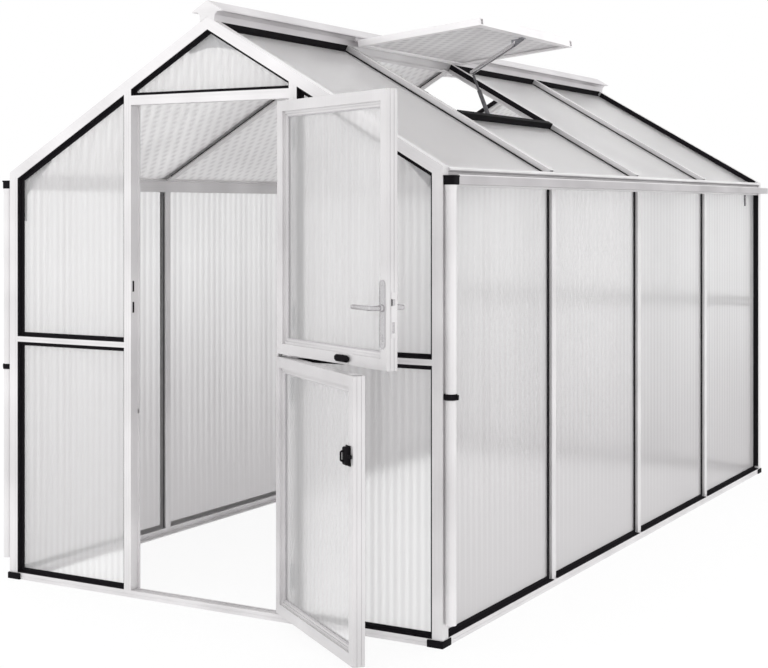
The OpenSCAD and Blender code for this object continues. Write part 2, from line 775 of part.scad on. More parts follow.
module pipe_clips() {
    ring = 3;
    color("dimgray") both_sides() translate([pipe_x, pipe_y, clip_z - 11]) difference() {
        union() {
            cylinder(r = pipe_r + ring, h = 22, $fn = round_n);
            translate([pipe_r - 2, -4, 0]) cube([12, 8, 22]);
            translate([hw - pipe_x, -14, 0]) cube([10, 28, 22]);
        }
        translate([0, 0, -1]) cylinder(r = pipe_r + 0.05, h = 24, $fn = round_n);
        translate([hw - pipe_x - 10, -20, -1]) cube([10, 40, 24]);
        translate([pipe_r - 3, -1, -1]) cube([16, 2, 24]);
    }
}
module wall_bracket() {
    y = hd - bracket_y;
    x = hw - recess;
    z0 = eave_beam_z - bracket_h;
    color("darkgray") both_sides() {
        difference() {
            box(x, y - 12, z0, x + 4, y + 12, eave_beam_z);
            box(x - 1, y - 20, z0 - 1, x + 5, y - 9, z0 + 34);
            box(x - 1, y + 9, z0 - 1, x + 5, y + 20, z0 + 34);
        }
        for (z = [z0 + 14, z0 + 50]) translate([x + 4, y, z]) rotate([0, 90, 0])
            cylinder(r1 = 6, r2 = 4, h = 4, $fn = round_n);
    }
}

// Corner plates and fasteners
module frame_gussets() {
    eave_gussets();
    ridge_gussets();
}
module eave_gussets() {
    x0 = hw - flange_back - 0.2;
    x1 = hw - pane_back - 0.6;
    under = flange_back - 1.6;
    low = eave_beam_z - 0.2;
    color("darkgray") both_ends() both_sides() behind(post_w, post_w + gusset_t)
        polygon([[x1, low], [x1, low - gusset_l], [x0 - 11, low - gusset_l],
            [x0 - 11, low - 20], on_roof(gusset_l + 60, 58),
            on_roof(gusset_l + 60, pane_back + 0.8),
            on_roof(beam_shelf + 0.5, pane_back + 0.8), on_roof(beam_shelf + 0.5, under),
            [x0, on_roof(0, under)[1] + (hw - x0 - under * sn) * tn], [x0, low]]);
}
module ridge_gussets() {
    half = [[0, apex_z - (flange_back + 0.3) / cs], on_roof(ridge_s - 0.3, flange_back + 0.3),
        on_roof(ridge_s - 0.3, pane_back + 0.8), on_roof(ridge_s - gusset_l, pane_back + 0.8),
        on_roof(ridge_s - gusset_l, 60), [30, apex_z - gusset_l + 12],
        [0, apex_z - gusset_l + 12]];
    color("darkgray") both_ends() behind(post_w, post_w + gusset_t) union() {
        polygon(half);
        mirror([1, 0]) polygon(half);
    }
}
module bolt_head(x, z) {
    translate([x, -hd + post_w + gusset_t + head_h, z]) rotate([90, 0, 0]) {
        cylinder(r = head_r, h = head_h, $fn = 6);
    }
}
module frame_bolts() {
    low = on_roof(165, 48);
    high = on_roof(ridge_s - 105, 48);
    color("silver") both_ends() both_sides() {
        bolt_head(post_in - 4, eave_beam_z - 110);
        bolt_head(post_in - 4, eave_beam_z - 40);
        bolt_head(low[0], low[1]);
        bolt_head(high[0], high[1]);
        bolt_head(22, apex_z - 96);
    }
}

// Latch side of the door post
strike_y = closed_y - bolt_n;
lower_latch_n = -leaf_t - 7;
lower_latch_y = closed_y - lower_latch_n;
module strike_space(t, gap) {
    box(-door_in - t, strike_y - 10 - gap, plate_z0 + 15 - gap, -door_in + (gap > 0 ? 1 : 0),
        strike_y + 10 + gap, plate_z1 - 16 + gap);
}
module strike_plate() {
    color("silver") difference() {
        strike_space(plate_t, 0);
        for (z = [dead_z, latch_z]) box(-door_in - 20, strike_y - 6, z - strike_slot_h / 2,
            -door_in + 1, strike_y + 6, z + strike_slot_h / 2);
    }
}

// Hinges: brackets on the post carry the pins, straps on the leaves turn on them
function hinge_zs(z0, z1) = [z0 + hinge_end, z1 - hinge_end];
all_hinges = concat(hinge_zs(lower_z, split_z), hinge_zs(upper_z0, upper_z1));
// Part of a hinge's height that belongs to the strap
strap_h = hinge_h / 3;
module hinge_brackets() {
    color("silver") for (zc = all_hinges) difference() {
        union() {
            box(hinge_x + knuckle_r - 0.5, -hd - 3, zc - hinge_h / 2, door_out - 3, -hd,
                zc + hinge_h / 2);
            for (z = [zc - hinge_h / 2, zc + strap_h / 2 + 0.3]) {
                translate([hinge_x, hinge_y, z])
                    cylinder(r = knuckle_r, h = hinge_h / 2 - strap_h / 2 - 0.3, $fn = round_n);
                box(hinge_x + 1, hinge_y, z, hinge_x + knuckle_r, -hd,
                    z + hinge_h / 2 - strap_h / 2 - 0.3);
            }
        }
        translate([hinge_x, hinge_y, zc - hinge_h])
            cylinder(r = hinge_pin_r + 0.02, h = 2 * hinge_h, $fn = round_n);
    }
}
module hinge_pins() {
    color("silver") for (zc = all_hinges) translate([hinge_x, hinge_y, zc - hinge_h / 2 - 2]) {
        cylinder(r = hinge_pin_r, h = hinge_h + 4, $fn = round_n);
        translate([0, 0, hinge_h + 2]) cylinder(r = hinge_pin_r + 2, h = 2, $fn = round_n);
    }
}
module straps(zs) {
    for (zc = zs) difference() {
        union() {
            translate([0, leaf_drop, zc - strap_h / 2])
                cylinder(r = knuckle_r, h = strap_h, $fn = round_n);
            box(0, 0, zc - strap_h / 2, leaf_s0 + 40, 3, zc + strap_h / 2);
            box(leaf_s0 + 1, 0, zc - hinge_h / 2, leaf_s0 + 40, 3, zc + hinge_h / 2);
        }
        translate([0, leaf_drop, zc - strap_h])
            cylinder(r = hinge_pin_r + run_gap, h = 2 * strap_h, $fn = round_n);
    }
}
module upper_hinge_straps() {
    color("silver") on_leaf(upper_open) straps(hinge_zs(upper_z0, upper_z1));
}
module lower_hinge_straps() {
    color("silver") on_leaf(lower_open) straps(hinge_zs(lower_z, split_z));
}

// Leaves
module leaf_slot(z0, z1) {
    box(leaf_s0 + leaf_face - slot_d, leaf_pane_n - slot_gap, z0 + leaf_face - slot_d,
        leaf_s1 - leaf_face + slot_d, leaf_pane_n + panel_t + slot_gap, z1 - leaf_face + slot_d);
}
module leaf_stile(s, z0, z1, core0, core1) {
    difference() {
        box(s, -leaf_t, z0, s + leaf_face, 0, z1);
        box(core0, -leaf_t + wall, z0 - 1, core1, -wall, z1 + 1);
    }
}
module leaf_frame(z0, z1) {
    f = leaf_face;
    core = f - step_w - 2 * wall;
    difference() {
        union() {
            leaf_stile(leaf_s0, z0, z1, leaf_s0 + wall, leaf_s0 + wall + core);
            leaf_stile(leaf_s1 - f, z0, z1, leaf_s1 - wall - core, leaf_s1 - wall);
            for (z = [z0, z1 - f]) difference() {
                box(leaf_s0 + f + seat, -leaf_t, z, leaf_s1 - f - seat, 0, z + f);
                box(leaf_s0, -leaf_t + wall, z == z0 ? z + wall : z + step_w + wall,
                    leaf_s1, -wall, z == z0 ? z + wall + core : z + f - wall);
            }
        }
        leaf_slot(z0, z1);
        for (n = [[-step_d, 1], [-leaf_t - 1, -leaf_t + step_d]])
            box(leaf_s0 + f - step_w, n[0], z0 + f - step_w, leaf_s1 - f + step_w, n[1],
                z1 - f + step_w);
        for (n = [-14, -30]) for (s = [leaf_s0, leaf_s1])
            box(s - groove, n, z0 - 1, s + groove, n + 2, z1 + 1);
    }
}
module leaf_panel(z0, z1) {
    in = leaf_face - slot_d + edge_gap;
    box(leaf_s0 + in, leaf_pane_n, z0 + in, leaf_s1 - in, leaf_pane_n + panel_t, z1 - in);
}
module through_leaf(s, z, r) {
    translate([s, 10, z]) rotate([90, 0, 0]) cylinder(r = r, h = leaf_t + 20, $fn = round_n);
}
module bolt_holes(gap) {
    for (b = [[latch_z, latch_h], [dead_z, dead_h]])
        box(lock_s - 8, bolt_n - bolt_t / 2 - gap, b[0] - b[1] / 2 - gap, leaf_s1 + 9,
            bolt_n + bolt_t / 2 + gap, b[0] + b[1] / 2 + gap);
}
spindle_r = 5;
key_r = 8;
knob_spindle_r = 4;
module upper_leaf_frame() {
    color("gainsboro") on_leaf(upper_open) difference() {
        leaf_frame(upper_z0, upper_z1);
        bolt_holes(0.4);
        through_leaf(lock_s, lever_z, spindle_r + 1);
        through_leaf(lock_s, key_z, key_r + 0.5);
        translate([knob_s, -leaf_t + 15, knob_z]) rotate([90, 0, 0])
            cylinder(r = knob_spindle_r + run_gap, h = 20, $fn = round_n);
    }
}
module upper_leaf_panel() {
    color("whitesmoke", 0.6) on_leaf(upper_open) leaf_panel(upper_z0, upper_z1);
}
module lower_leaf_frame() {
    color("gainsboro") on_leaf(lower_open) leaf_frame(lower_z, split_z);
}
module lower_leaf_panel() {
    color("whitesmoke", 0.6) on_leaf(lower_open) leaf_panel(lower_z, split_z);
}

// Lock
module plate(n0, n1) {
    r = plate_w / 2;
    difference() {
        union() {
            box(lock_s - r, n0, plate_z0 + r, lock_s + r, n1, plate_z1 - r);
            for (z = [plate_z0 + r, plate_z1 - r]) translate([lock_s, n1, z])
                rotate([90, 0, 0]) cylinder(r = r, h = n1 - n0, $fn = round_n);
        }
        through_leaf(lock_s, lever_z, spindle_r + run_gap);
        through_leaf(lock_s, key_z, key_r + run_gap);
        translate([lock_s, 30, lever_z]) rotate([90, 0, 0])
            cylinder(r = spindle_r + run_gap, h = 120, $fn = round_n);
        translate([lock_s, 30, key_z]) rotate([90, 0, 0])
            cylinder(r = key_r + run_gap, h = 120, $fn = round_n);
    }
}
module handle_plates() {
    color("silver") on_leaf(upper_open) {
        plate(-leaf_t - plate_t, -leaf_t);
        plate(0, plate_t);
    }
}
module lock_case() {
    half = 8;
    color("silver") on_leaf(upper_open) difference() {
        box(lock_s - 9.5, bolt_n - half, key_z - 16, leaf_s1 - wall, bolt_n + half, latch_z + 22);
        bolt_holes(0.4);
        through_leaf(lock_s, lever_z, spindle_r + 1);
        through_leaf(lock_s, key_z, key_r + 0.5);
    }
}
module lock_faceplate() {
    color("silver") on_leaf(upper_open) difference() {
        box(leaf_s1, bolt_n - 8, dead_z - 34, leaf_s1 + plate_t, bolt_n + 10, latch_z + 34);
        bolt_holes(0.3);
    }
}
module lever_arm(n, dir) {
    translate([lock_s, n, lever_z]) {
        rotate([0, -90, 0]) cylinder(r = lever_r, h = lever_l, $fn = round_n);
        sphere(r = lever_r, $fn = round_n);
        translate([-lever_l, 0, 0]) sphere(r = lever_r, $fn = round_n);
        rotate([90 * dir, 0, 0]) cylinder(r = lever_r, h = lever_out - plate_t - 0.5, $fn = round_n);
    }
}
module door_lever() {
    color("silver") on_leaf(upper_open) {
        lever_arm(-leaf_t - lever_out, -1);
        lever_arm(lever_out, 1);
        translate([lock_s, lever_out, lever_z]) rotate([90, 0, 0])
            cylinder(r = spindle_r, h = leaf_t + 2 * lever_out, $fn = round_n);
    }
}
module latch_bolt() {
    s0 = lock_s - 3;
    color("silver") on_leaf(upper_open)
        box(s0, bolt_n - bolt_t / 2, latch_z - latch_h / 2, leaf_s1 + plate_t + latch_out,
            bolt_n + bolt_t / 2, latch_z + latch_h / 2);
}
module dead_bolt() {
    s0 = lock_s - 6;
    color("silver") on_leaf(upper_open)
        box(s0, bolt_n - bolt_t / 2, dead_z - dead_h / 2, leaf_s1 + plate_t - 0.5,
            bolt_n + bolt_t / 2, dead_z + dead_h / 2);
}
module key_plug() {
    ends = plate_t + 3;
    color("silver") on_leaf(upper_open) difference() {
        translate([lock_s, ends, key_z]) rotate([90, 0, 0])
            cylinder(r = key_r, h = leaf_t + 2 * ends, $fn = round_n);
        box(lock_s - 1, ends - 8, key_z - 5, lock_s + 1, ends + 1, key_z + 5);
        box(lock_s - 1, -leaf_t - ends - 1, key_z - 5, lock_s + 1, -leaf_t - ends + 8, key_z + 5);
    }
}

// Turn button that laps both leaves when it stands upright
module coupling_knob() {
    r = knob_w / 2;
    color("dimgray") on_leaf(upper_open) translate([knob_s, -leaf_t, knob_z]) {
        translate([0, 12, 0]) rotate([90, 0, 0])
            cylinder(r = knob_spindle_r, h = 14, $fn = round_n);
        translate([0, -0.4, 0]) rotate([90, 0, 0])
            cylinder(r = r - 1, h = 3, $fn = round_n);
        translate([0, -3.4, 0]) rotate([90, 0, 0]) {
            translate([-knob_l / 2 + r, -r, 0]) cube([knob_l - 2 * r, 2 * r, 11]);
            for (x = [-1, 1]) translate([x * (knob_l / 2 - r), 0, 0])
                cylinder(r = r, h = 11, $fn = round_n);
        }
    }
}

// Latch of the lower leaf
module lower_latch_case() {
    color("dimgray") on_leaf(lower_open) difference() {
        box(leaf_s1 - 56, -leaf_t - 18, lower_latch_z - 30, leaf_s1 - 22, -leaf_t,
            lower_latch_z + 30);
        box(leaf_s1 - 50, lower_latch_n - 4.3, lower_latch_z - 6.3, leaf_s1, lower_latch_n + 4.3,
            lower_latch_z + 6.3);
        box(leaf_s1 - 48, -leaf_t - 30, lower_latch_z - 5, leaf_s1 - 24, lower_latch_n,
            lower_latch_z + 5);
    }
}
module lower_latch_slide() {
    s1 = leaf_s1 - 4;
    color("dimgray") on_leaf(lower_open) {
        box(s1 - 44, lower_latch_n - 4, lower_latch_z - 6, s1, lower_latch_n + 4,
            lower_latch_z + 6);
        box(s1 - 44, -leaf_t - 28, lower_latch_z - 4, s1 - 38, lower_latch_n,
            lower_latch_z + 4);
        box(s1 - 44, -leaf_t - 28, lower_latch_z - 18, s1 - 34, -leaf_t - 20,
            lower_latch_z + 18);
    }
}

// Vent
module vent_sills() { both_slopes() vent_sill(); }
module vent_sill() {
    color("dimgray") along_vent(bar_w / 2) difference() {
        polygon([on_roof(vent_sill_s0, -2.7), on_roof(vent_sill_s1, -2.7),
            on_roof(vent_sill_s1, flange_back), on_roof(vent_sill_s0, flange_back)]);
        polygon([on_roof(vent_sill_s0 - 1, recess - slot_gap),
            on_roof(vent_sill_s0 + slot_d, recess - slot_gap),
            on_roof(vent_sill_s0 + slot_d, pane_back + slot_gap),
            on_roof(vent_sill_s0 - 1, pane_back + slot_gap)]);
        polygon([on_roof(vent_sill_s0 + slot_d + wall, 1), on_roof(vent_sill_s1 - wall, 1),
            on_roof(vent_sill_s1 - wall, flange_back - wall),
            on_roof(vent_sill_s0 + slot_d + wall, flange_back - wall)]);
    }
}
module along_vent(edge) { along_y(vent_y0 + edge, vent_y1 - edge) children(); }
lid_edge = 3;
module vent_frame() {
    y0 = vent_y0 + lid_edge;
    y1 = vent_y1 - lid_edge;
    p0 = bead_r + 6;
    color("gainsboro") on_lid() difference() {
        union() {
            for (y = [y0, y1 - lid_rail]) difference() {
                box(p0, y, -lid_t, lid_l, y + lid_rail, 0);
                box(p0 - 1, y + wall, -lid_t + wall, lid_l + 1, y + lid_rail - slot_d - wall,
                    -wall);
            }
            // outer rail with its upstand
            box(lid_l - lid_rail, y0 + lid_rail + seat, -lid_t, lid_l, y1 - lid_rail - seat, 0);
            box(lid_l - 8, y0 + lid_rail + seat, 0, lid_l, y1 - lid_rail - seat, 10);
            // hinge rail with its hook round the bead
            box(p0, y0 + lid_rail + seat, -lid_t, p0 + lid_rail - 8, y1 - lid_rail - seat, 0);
            translate([0, y1 - lid_rail - seat, 0]) rotate([90, 0, 0])
                linear_extrude(y1 - y0 - 2 * lid_rail - 2 * seat) difference() {
                    union() {
                        circle(r = bead_r + 3.5, $fn = round_n);
                        polygon([[0, -bead_r - 3.5], [p0 + 1, -bead_r - 3.5], [p0 + 1, 0], [0, 0]]);
                    }
                    circle(r = bead_r + 0.08, $fn = round_n);
                    polygon([[0, 0], [40 * cos(40), 40 * sin(40)], [0, 60],
                        [-40 * cos(20), 40 * sin(20)]]);
                }
        }
        box(p0 + lid_rail - 8 - slot_d, y0 + lid_rail - slot_d, lid_pane_q - slot_gap,
            lid_l - lid_rail + slot_d, y1 - lid_rail + slot_d, lid_pane_q + panel_t + slot_gap);
    }
}
lid_pane_q = -22;
module vent_panel() {
    e = slot_d - edge_gap;
    p0 = bead_r + 6;
    color("whitesmoke", 0.6) on_lid() box(p0 + lid_rail - 8 - e, vent_y0 + lid_edge + lid_rail - e,
        lid_pane_q, lid_l - lid_rail + e, vent_y1 - lid_edge - lid_rail + e,
        lid_pane_q + panel_t);
}
// Run of the slot in which the upper arm's pin travels, in the lid's frame
slot_run = [4.2, 13.3];
slot_r = arm_pin_r + 1.2;
module vent_lug() {
    // lug under the outer rail with a long slot for the upper arm's pin
    half = arm_t / 2;
    // the shut lid's lug stays inside the vent sill
    out = lid_l + 2 - vent_sill_w - 3;
    bp = [opener_r * cos(lid_rise), -opener_r * sin(lid_rise)];
    d = left_of(unit(slot_run)) * slot_r;
    color("silver") on_lid() difference() {
        union() {
            box(lid_l - lid_rail - 12, vent_mid - 20, -lid_t - 3, out, vent_mid + 20, -lid_t);
            translate([0, vent_mid + half, 0]) rotate([90, 0, 0]) linear_extrude(2 * half)
                polygon([[out, -lid_t - 1], [bp[0] - 9, -lid_t - 1],
                    [bp[0] - 11, bp[1]], [bp[0] - 5, bp[1] - 9.5], [bp[0] + 5, bp[1] - 9.5],
                    [out, -lid_t - 10]]);
        }
        translate([0, vent_mid + half + 1, 0]) rotate([90, 0, 0]) linear_extrude(2 * half + 2)
            union() {
                translate(bp) circle(r = slot_r, $fn = round_n);
                translate(bp + slot_run) circle(r = slot_r, $fn = round_n);
                polygon([bp + d, bp - d, bp + slot_run - d, bp + slot_run + d]);
            }
    }
}

// Opener arms
module link(p, q, r, y0, y1) {
    d = q - p;
    n = left_of(unit(d)) * (r - 2);
    along_y(y0, y1) union() {
        translate(p) circle(r = r, $fn = round_n);
        translate(q) circle(r = r, $fn = round_n);
        polygon([p + n, p - n, q - n, q + n]);
    }
}
module opener_brackets() { both_slopes() opener_bracket(); }
module opener_bracket() {
    half = arm_t / 2 + side_play;
    foot = on_roof(vent_sill_s1, flange_back - 3);
    up = on_roof(vent_sill_s1, flange_back - 17);
    color("silver") difference() {
        union() {
            for (y0 = [vent_mid + half, vent_mid - half - 3]) {
                along_y(y0, y0 + 3) union() {
                    translate(pivot_a) circle(r = eye_r, $fn = round_n);
                    polygon([foot, up, pivot_a + [2, eye_r - 1], pivot_a - [4, eye_r - 1]]);
                }
            }
            along_y(vent_mid - 22, vent_mid + 22) polygon([foot, up,
                on_roof(vent_sill_s1 + 3, flange_back - 17),
                on_roof(vent_sill_s1 + 3, flange_back - 3)]);
            rod_y(pivot_a, arm_pin_r, vent_mid - half - 4, vent_mid + half + 4);
        }
    }
}
module opener_lower_arm() {
    half = arm_t / 2;
    color("silver") difference() {
        link(pivot_a, pivot_c, eye_r, vent_mid - half, vent_mid + half);
        for (p = [pivot_a, pivot_c]) rod_y(p, arm_pin_r + run_gap, vent_mid - 9, vent_mid + 9);
    }
}
module opener_upper_arm() {
    half = arm_t / 2 + side_play;
    color("silver") {
        for (y0 = [vent_mid + half, vent_mid - half - 3])
            link(pivot_c, pivot_b, eye_r - 2, y0, y0 + 3);
        for (p = [pivot_b, pivot_c]) rod_y(p, arm_pin_r, vent_mid - half - 4, vent_mid + half + 4);
    }
}

// The vents' moving pieces, one set a slope
module right_vent_frame() { vent_frame(); }
module right_vent_panel() { vent_panel(); }
module right_vent_lug() { vent_lug(); }
module right_opener_lower_arm() { opener_lower_arm(); }
module right_opener_upper_arm() { opener_upper_arm(); }
module left_vent_frame() { half_turn() vent_frame(); }
module left_vent_panel() { half_turn() vent_panel(); }
module left_vent_lug() { half_turn() vent_lug(); }
module left_opener_lower_arm() { half_turn() opener_lower_arm(); }
module left_opener_upper_arm() { half_turn() opener_upper_arm(); }

gable_sills();
side_sills();
base_corner_caps();
corner_posts();
gable_rafters();
door_posts();
rear_gable_posts();
door_header();
mid_rails();
eave_beams();
ridge_beam();
ridge_cap();
wall_bars();
roof_bars();
front_gable_panels();
rear_gable_panels();
wall_panels();
roof_panels();
gable_seals();
wall_seals();
roof_seals();
gutters();
gutter_outlets();
gutter_end_caps();
downpipes();
pipe_clips();
wall_bracket();
frame_gussets();
frame_bolts();
strike_plate();
hinge_brackets();
hinge_pins();
vent_sills();
opener_brackets();
upper_leaf_frame();
upper_leaf_panel();
upper_hinge_straps();
handle_plates();
lock_case();
lock_faceplate();
door_lever();
latch_bolt();
key_plug();
dead_bolt();
coupling_knob();
lower_leaf_frame();
lower_leaf_panel();
lower_hinge_straps();
lower_latch_case();
lower_latch_slide();
right_vent_frame();
right_vent_panel();
right_vent_lug();
right_opener_lower_arm();
right_opener_upper_arm();
left_vent_frame();
left_vent_panel();
left_vent_lug();
left_opener_lower_arm();
left_opener_upper_arm();
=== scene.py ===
# %% [markdown]
# # A greenhouse of aluminium profiles and twin-wall sheets
# The frame of this model is already built to size. This lesson dresses it: it gives every
# profile, sheet and seal its finish, and models by hand what a plain solid can't show, such
# as the door handles, the gutters' rolled edges, the seals inside the bars and the vents'
# openers. All lengths are in metres, in the same place as the real object stands: X to the
# right, Y from the door to the rear, Z up.

# %% Load the frame
import math

import bmesh
import bpy
from mathutils import Matrix, Vector


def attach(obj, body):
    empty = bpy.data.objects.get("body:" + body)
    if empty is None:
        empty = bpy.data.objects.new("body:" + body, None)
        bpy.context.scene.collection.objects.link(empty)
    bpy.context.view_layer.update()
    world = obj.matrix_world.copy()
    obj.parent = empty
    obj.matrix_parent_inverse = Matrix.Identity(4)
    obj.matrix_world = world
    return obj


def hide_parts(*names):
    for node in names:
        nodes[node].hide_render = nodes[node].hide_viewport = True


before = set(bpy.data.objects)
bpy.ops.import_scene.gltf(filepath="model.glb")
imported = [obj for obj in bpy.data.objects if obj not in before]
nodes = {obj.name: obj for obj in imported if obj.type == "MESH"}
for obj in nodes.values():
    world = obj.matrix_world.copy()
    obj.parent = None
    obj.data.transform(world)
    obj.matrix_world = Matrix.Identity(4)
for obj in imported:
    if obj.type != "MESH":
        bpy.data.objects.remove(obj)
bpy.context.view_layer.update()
print("nodes:", len(nodes))

# %% [markdown]
# ## The camera
# The picture was taken from the front right corner at standing height, with a lens that is
# a little long and held level. A level camera keeps every post upright in the picture. The
# view is moved down with shift and not by tilting, for the same reason.

# %% Camera
CAMERA_AT = (3.452, -6.696, 1.552)
LEVEL_LOOK = (math.radians(90), 0, math.radians(29.71))
bpy.ops.object.camera_add(location=CAMERA_AT, rotation=LEVEL_LOOK)
camera = bpy.context.object
camera.data.sensor_width = 36
camera.data.lens = 69.96
camera.data.shift_y = -0.1634
camera.data.clip_end = 100
bpy.context.scene.camera = camera
print("camera height:", CAMERA_AT[2], "lens:", round(camera.data.lens, 2))

# %% [markdown]
# ## Sizes that the pieces share
# The leaves and the vent lids stand open. A piece on a leaf is modelled as if the leaf lay
# flat in front of us, with the hinge axis at the left, and is then swung into place in one
# step. That is how a joiner would make it too: on the bench, not in the doorway.

# %% Places of the leaves and the lids
HALF_W, HALF_D = 1.025, 2.025
SLOPE, LID_RISE = math.radians(30), math.radians(5.8)
HINGE = Vector((0.376, -2.032, 0))
LEAF_DROP, LEAF_T = 0.006, 0.042
LEAF_S0, LEAF_S1, LEAF_FACE = 0.006, 0.746, 0.048
UPPER = {"z0": 1.014, "z1": 1.950, "open": 153.0}
LOWER = {"z0": 0.050, "z1": 1.003, "open": 143.7}


def leaf_turn(leaf):
    """How far a leaf turns about the upright axis from the bench to its open place."""
    return math.radians(180 + leaf["open"])


def leaf_matrix(leaf):
    """Bench to doorway: x runs from the hinge to the free edge, y out of the outer face."""
    swing = Matrix.Rotation(leaf_turn(leaf), 4, "Z")
    return Matrix.Translation(HINGE) @ swing @ Matrix.Translation((0, -LEAF_DROP, 0))


free_edge = leaf_matrix(UPPER) @ Vector((LEAF_S1, 0, 1.0))
print("free edge of the upper leaf:", [round(c, 3) for c in free_edge])

# %% [markdown]
# ## Helpers for modelling by hand
# Most pieces here start as a section: a flat outline with as many corners as the profile
# has, which is then pulled out to its length, as an extrusion press does. The round ones
# start as a circle that is pulled along its axis. A mesh could also be typed in corner by
# corner, but a pulled section keeps its sides flat and needs only the corners one can name.


# %% Helpers for selecting, placing and joining
def clear_selection():
    for o in bpy.context.selected_objects:
        o.select_set(False)
    bpy.context.view_layer.objects.active = None


def make_active(o):
    clear_selection()
    o.select_set(True)
    bpy.context.view_layer.objects.active = o


def bake_place(o, matrix=None):
    """Puts the object's place, and one more turn if given, into its mesh."""
    make_active(o)
    if matrix is not None:
        o.matrix_world = matrix @ o.matrix_world
        bpy.context.view_layer.update()
    bpy.ops.object.transform_apply(location=True, rotation=True, scale=True)
    return o


def join(name, parts):
    """Makes one object of several."""
    clear_selection()
    for p in parts:
        p.select_set(True)
    bpy.context.view_layer.objects.active = parts[0]
    bpy.ops.object.join()
    parts[0].name = name
    return parts[0]


# %% [markdown]
# ### Edges and faces
# Most pieces get a small bevel, because no real edge is razor sharp and it is the bevel
# that catches the light. The turned ones have it in their stations. Faces that meet at a
# small angle are shaded as one round surface, and all of them look outwards.

# %% Helpers for edges and faces
SMOOTH_BELOW = math.radians(35)


def bevel(o, width, segments=2, angle=40):
    """Rounds the edges that are sharper than the angle."""
    make_active(o)
    m = o.modifiers.new("bevel", "BEVEL")
    m.width = width
    m.segments = segments
    m.limit_method = "ANGLE"
    m.angle_limit = math.radians(angle)
    bpy.ops.object.modifier_apply(modifier=m.name)
    bpy.ops.object.shade_smooth_by_angle(angle=SMOOTH_BELOW)
    return o


def outward(o):
    """Welds corners that fall together and turns all faces outwards."""
    make_active(o)
    bpy.ops.object.mode_set(mode="EDIT")
    bpy.ops.mesh.select_all(action="SELECT")
    bpy.ops.mesh.remove_doubles(threshold=0.00001)
    bpy.ops.mesh.normals_make_consistent(inside=False)
    bpy.ops.object.mode_set(mode="OBJECT")
    return o


# %% [markdown]
# ### Sections and blocks
# A section is pulled along a vector. A block is a cube between two corners, which is
# quicker to write where all sides are square.


# %% Helpers for sections and blocks
def pull_section(name, corners, along, edge):
    """A closed outline of 3-D corners, pulled along a vector, with softened edges."""
    clear_selection()
    bpy.ops.mesh.primitive_circle_add(vertices=len(corners), fill_type="NGON")
    o = bpy.context.object
    o.name = name
    for v, c in zip(o.data.vertices, corners):
        v.co = c
    bpy.ops.object.mode_set(mode="EDIT")
    bpy.ops.mesh.select_all(action="SELECT")
    bpy.ops.mesh.extrude_region_move(TRANSFORM_OT_translate={"value": along})
    bpy.ops.mesh.select_all(action="SELECT")
    bpy.ops.mesh.normals_make_consistent(inside=False)
    bpy.ops.object.mode_set(mode="OBJECT")
    if edge:
        bevel(o, edge)
    return o


def block(name, lo, hi, edge, segments=2):
    """A block between two corners with softened edges."""
    clear_selection()
    mid = [(a + b) / 2 for a, b in zip(lo, hi)]
    size = [b - a for a, b in zip(lo, hi)]
    bpy.ops.mesh.primitive_cube_add(size=1, location=mid, scale=size)
    o = bpy.context.object
    o.name = name
    bake_place(o)
    return bevel(o, edge, segments)


# %% [markdown]
# ### Turned pieces
# A turned piece follows a list of stations, each a distance along the axis with a radius,
# as a lathe does. A circle is pulled from one station to the next and resized there. It is
# made along Z and then turned to its own axis.

# %% Helper for turned pieces
AXIS_TURN = {
    "Z": Matrix(),
    "Y": Matrix.Rotation(math.radians(-90), 4, "X"),
    "X": Matrix.Rotation(math.radians(90), 4, "Y"),
}


def turned(name, stations, at, axis="Z", sides=32):
    """A turned piece: (distance along the axis, radius) stations from one end to the other."""
    clear_selection()
    z_first, r_first = stations[0]
    bpy.ops.mesh.primitive_circle_add(
        vertices=sides, radius=r_first, fill_type="NGON", location=(0, 0, z_first))
    o = bpy.context.object
    o.name = name
    bpy.ops.object.mode_set(mode="EDIT")
    bpy.ops.mesh.select_all(action="SELECT")
    for (z0, r0), (z1, r1) in zip(stations, stations[1:]):
        bpy.ops.mesh.extrude_region_move(TRANSFORM_OT_translate={"value": (0, 0, z1 - z0)})
        if abs(r1 - r0) > 1e-9:
            k = r1 / r0
            bpy.ops.transform.resize(value=(k, k, 1), center_override=(0, 0, z1))
    bpy.ops.object.mode_set(mode="OBJECT")
    bake_place(o, Matrix.Translation(at) @ AXIS_TURN[axis])
    outward(o)
    make_active(o)
    bpy.ops.object.shade_smooth_by_angle(angle=SMOOTH_BELOW)
    return o


# %% [markdown]
# ## Finishes
# Each finish is named for what the real thing is made of and how its surface was made.
# Colours are written as hex values, as a paint chart gives them, and one function turns
# them to the linear values that the shader works in.


# %% Helper for colours
def linear(hex_colour):
    """sRGB hex to linear RGBA."""
    out = []
    for i in (0, 2, 4):
        c = int(hex_colour[i:i + 2], 16) / 255
        out.append(c / 12.92 if c <= 0.04045 else ((c + 0.055) / 1.055) ** 2.4)
    return (*out, 1)


print("mid grey 808080 is", round(linear("808080")[0], 3), "in linear light")

# %% [markdown]
# ### Nodes
# A finish is a small network of nodes. One function adds a node, sets it and links it, and
# the kinds that come back in every finish have a short name of their own.


# %% Helpers for nodes
def add_node(owner, kind, settings=None, values=None, links=None):
    """One node of a material or a world, with links given as {input: (node, output)}."""
    n = owner.node_tree.nodes.new(kind)
    for k, v in (settings or {}).items():
        setattr(n, k, v)
    for k, v in (values or {}).items():
        n.inputs[k].default_value = v
    for k, (source, socket) in (links or {}).items():
        owner.node_tree.links.new(source.outputs[socket], n.inputs[k])
    return n


def object_space(mat):
    """Where a point is, in metres in the shared frame."""
    return add_node(mat, "ShaderNodeTexCoord")


def mapping(mat, source, socket, **values):
    """Turns or stretches a place before a pattern reads it."""
    return add_node(mat, "ShaderNodeMapping", values=values, links={"Vector": (source, socket)})


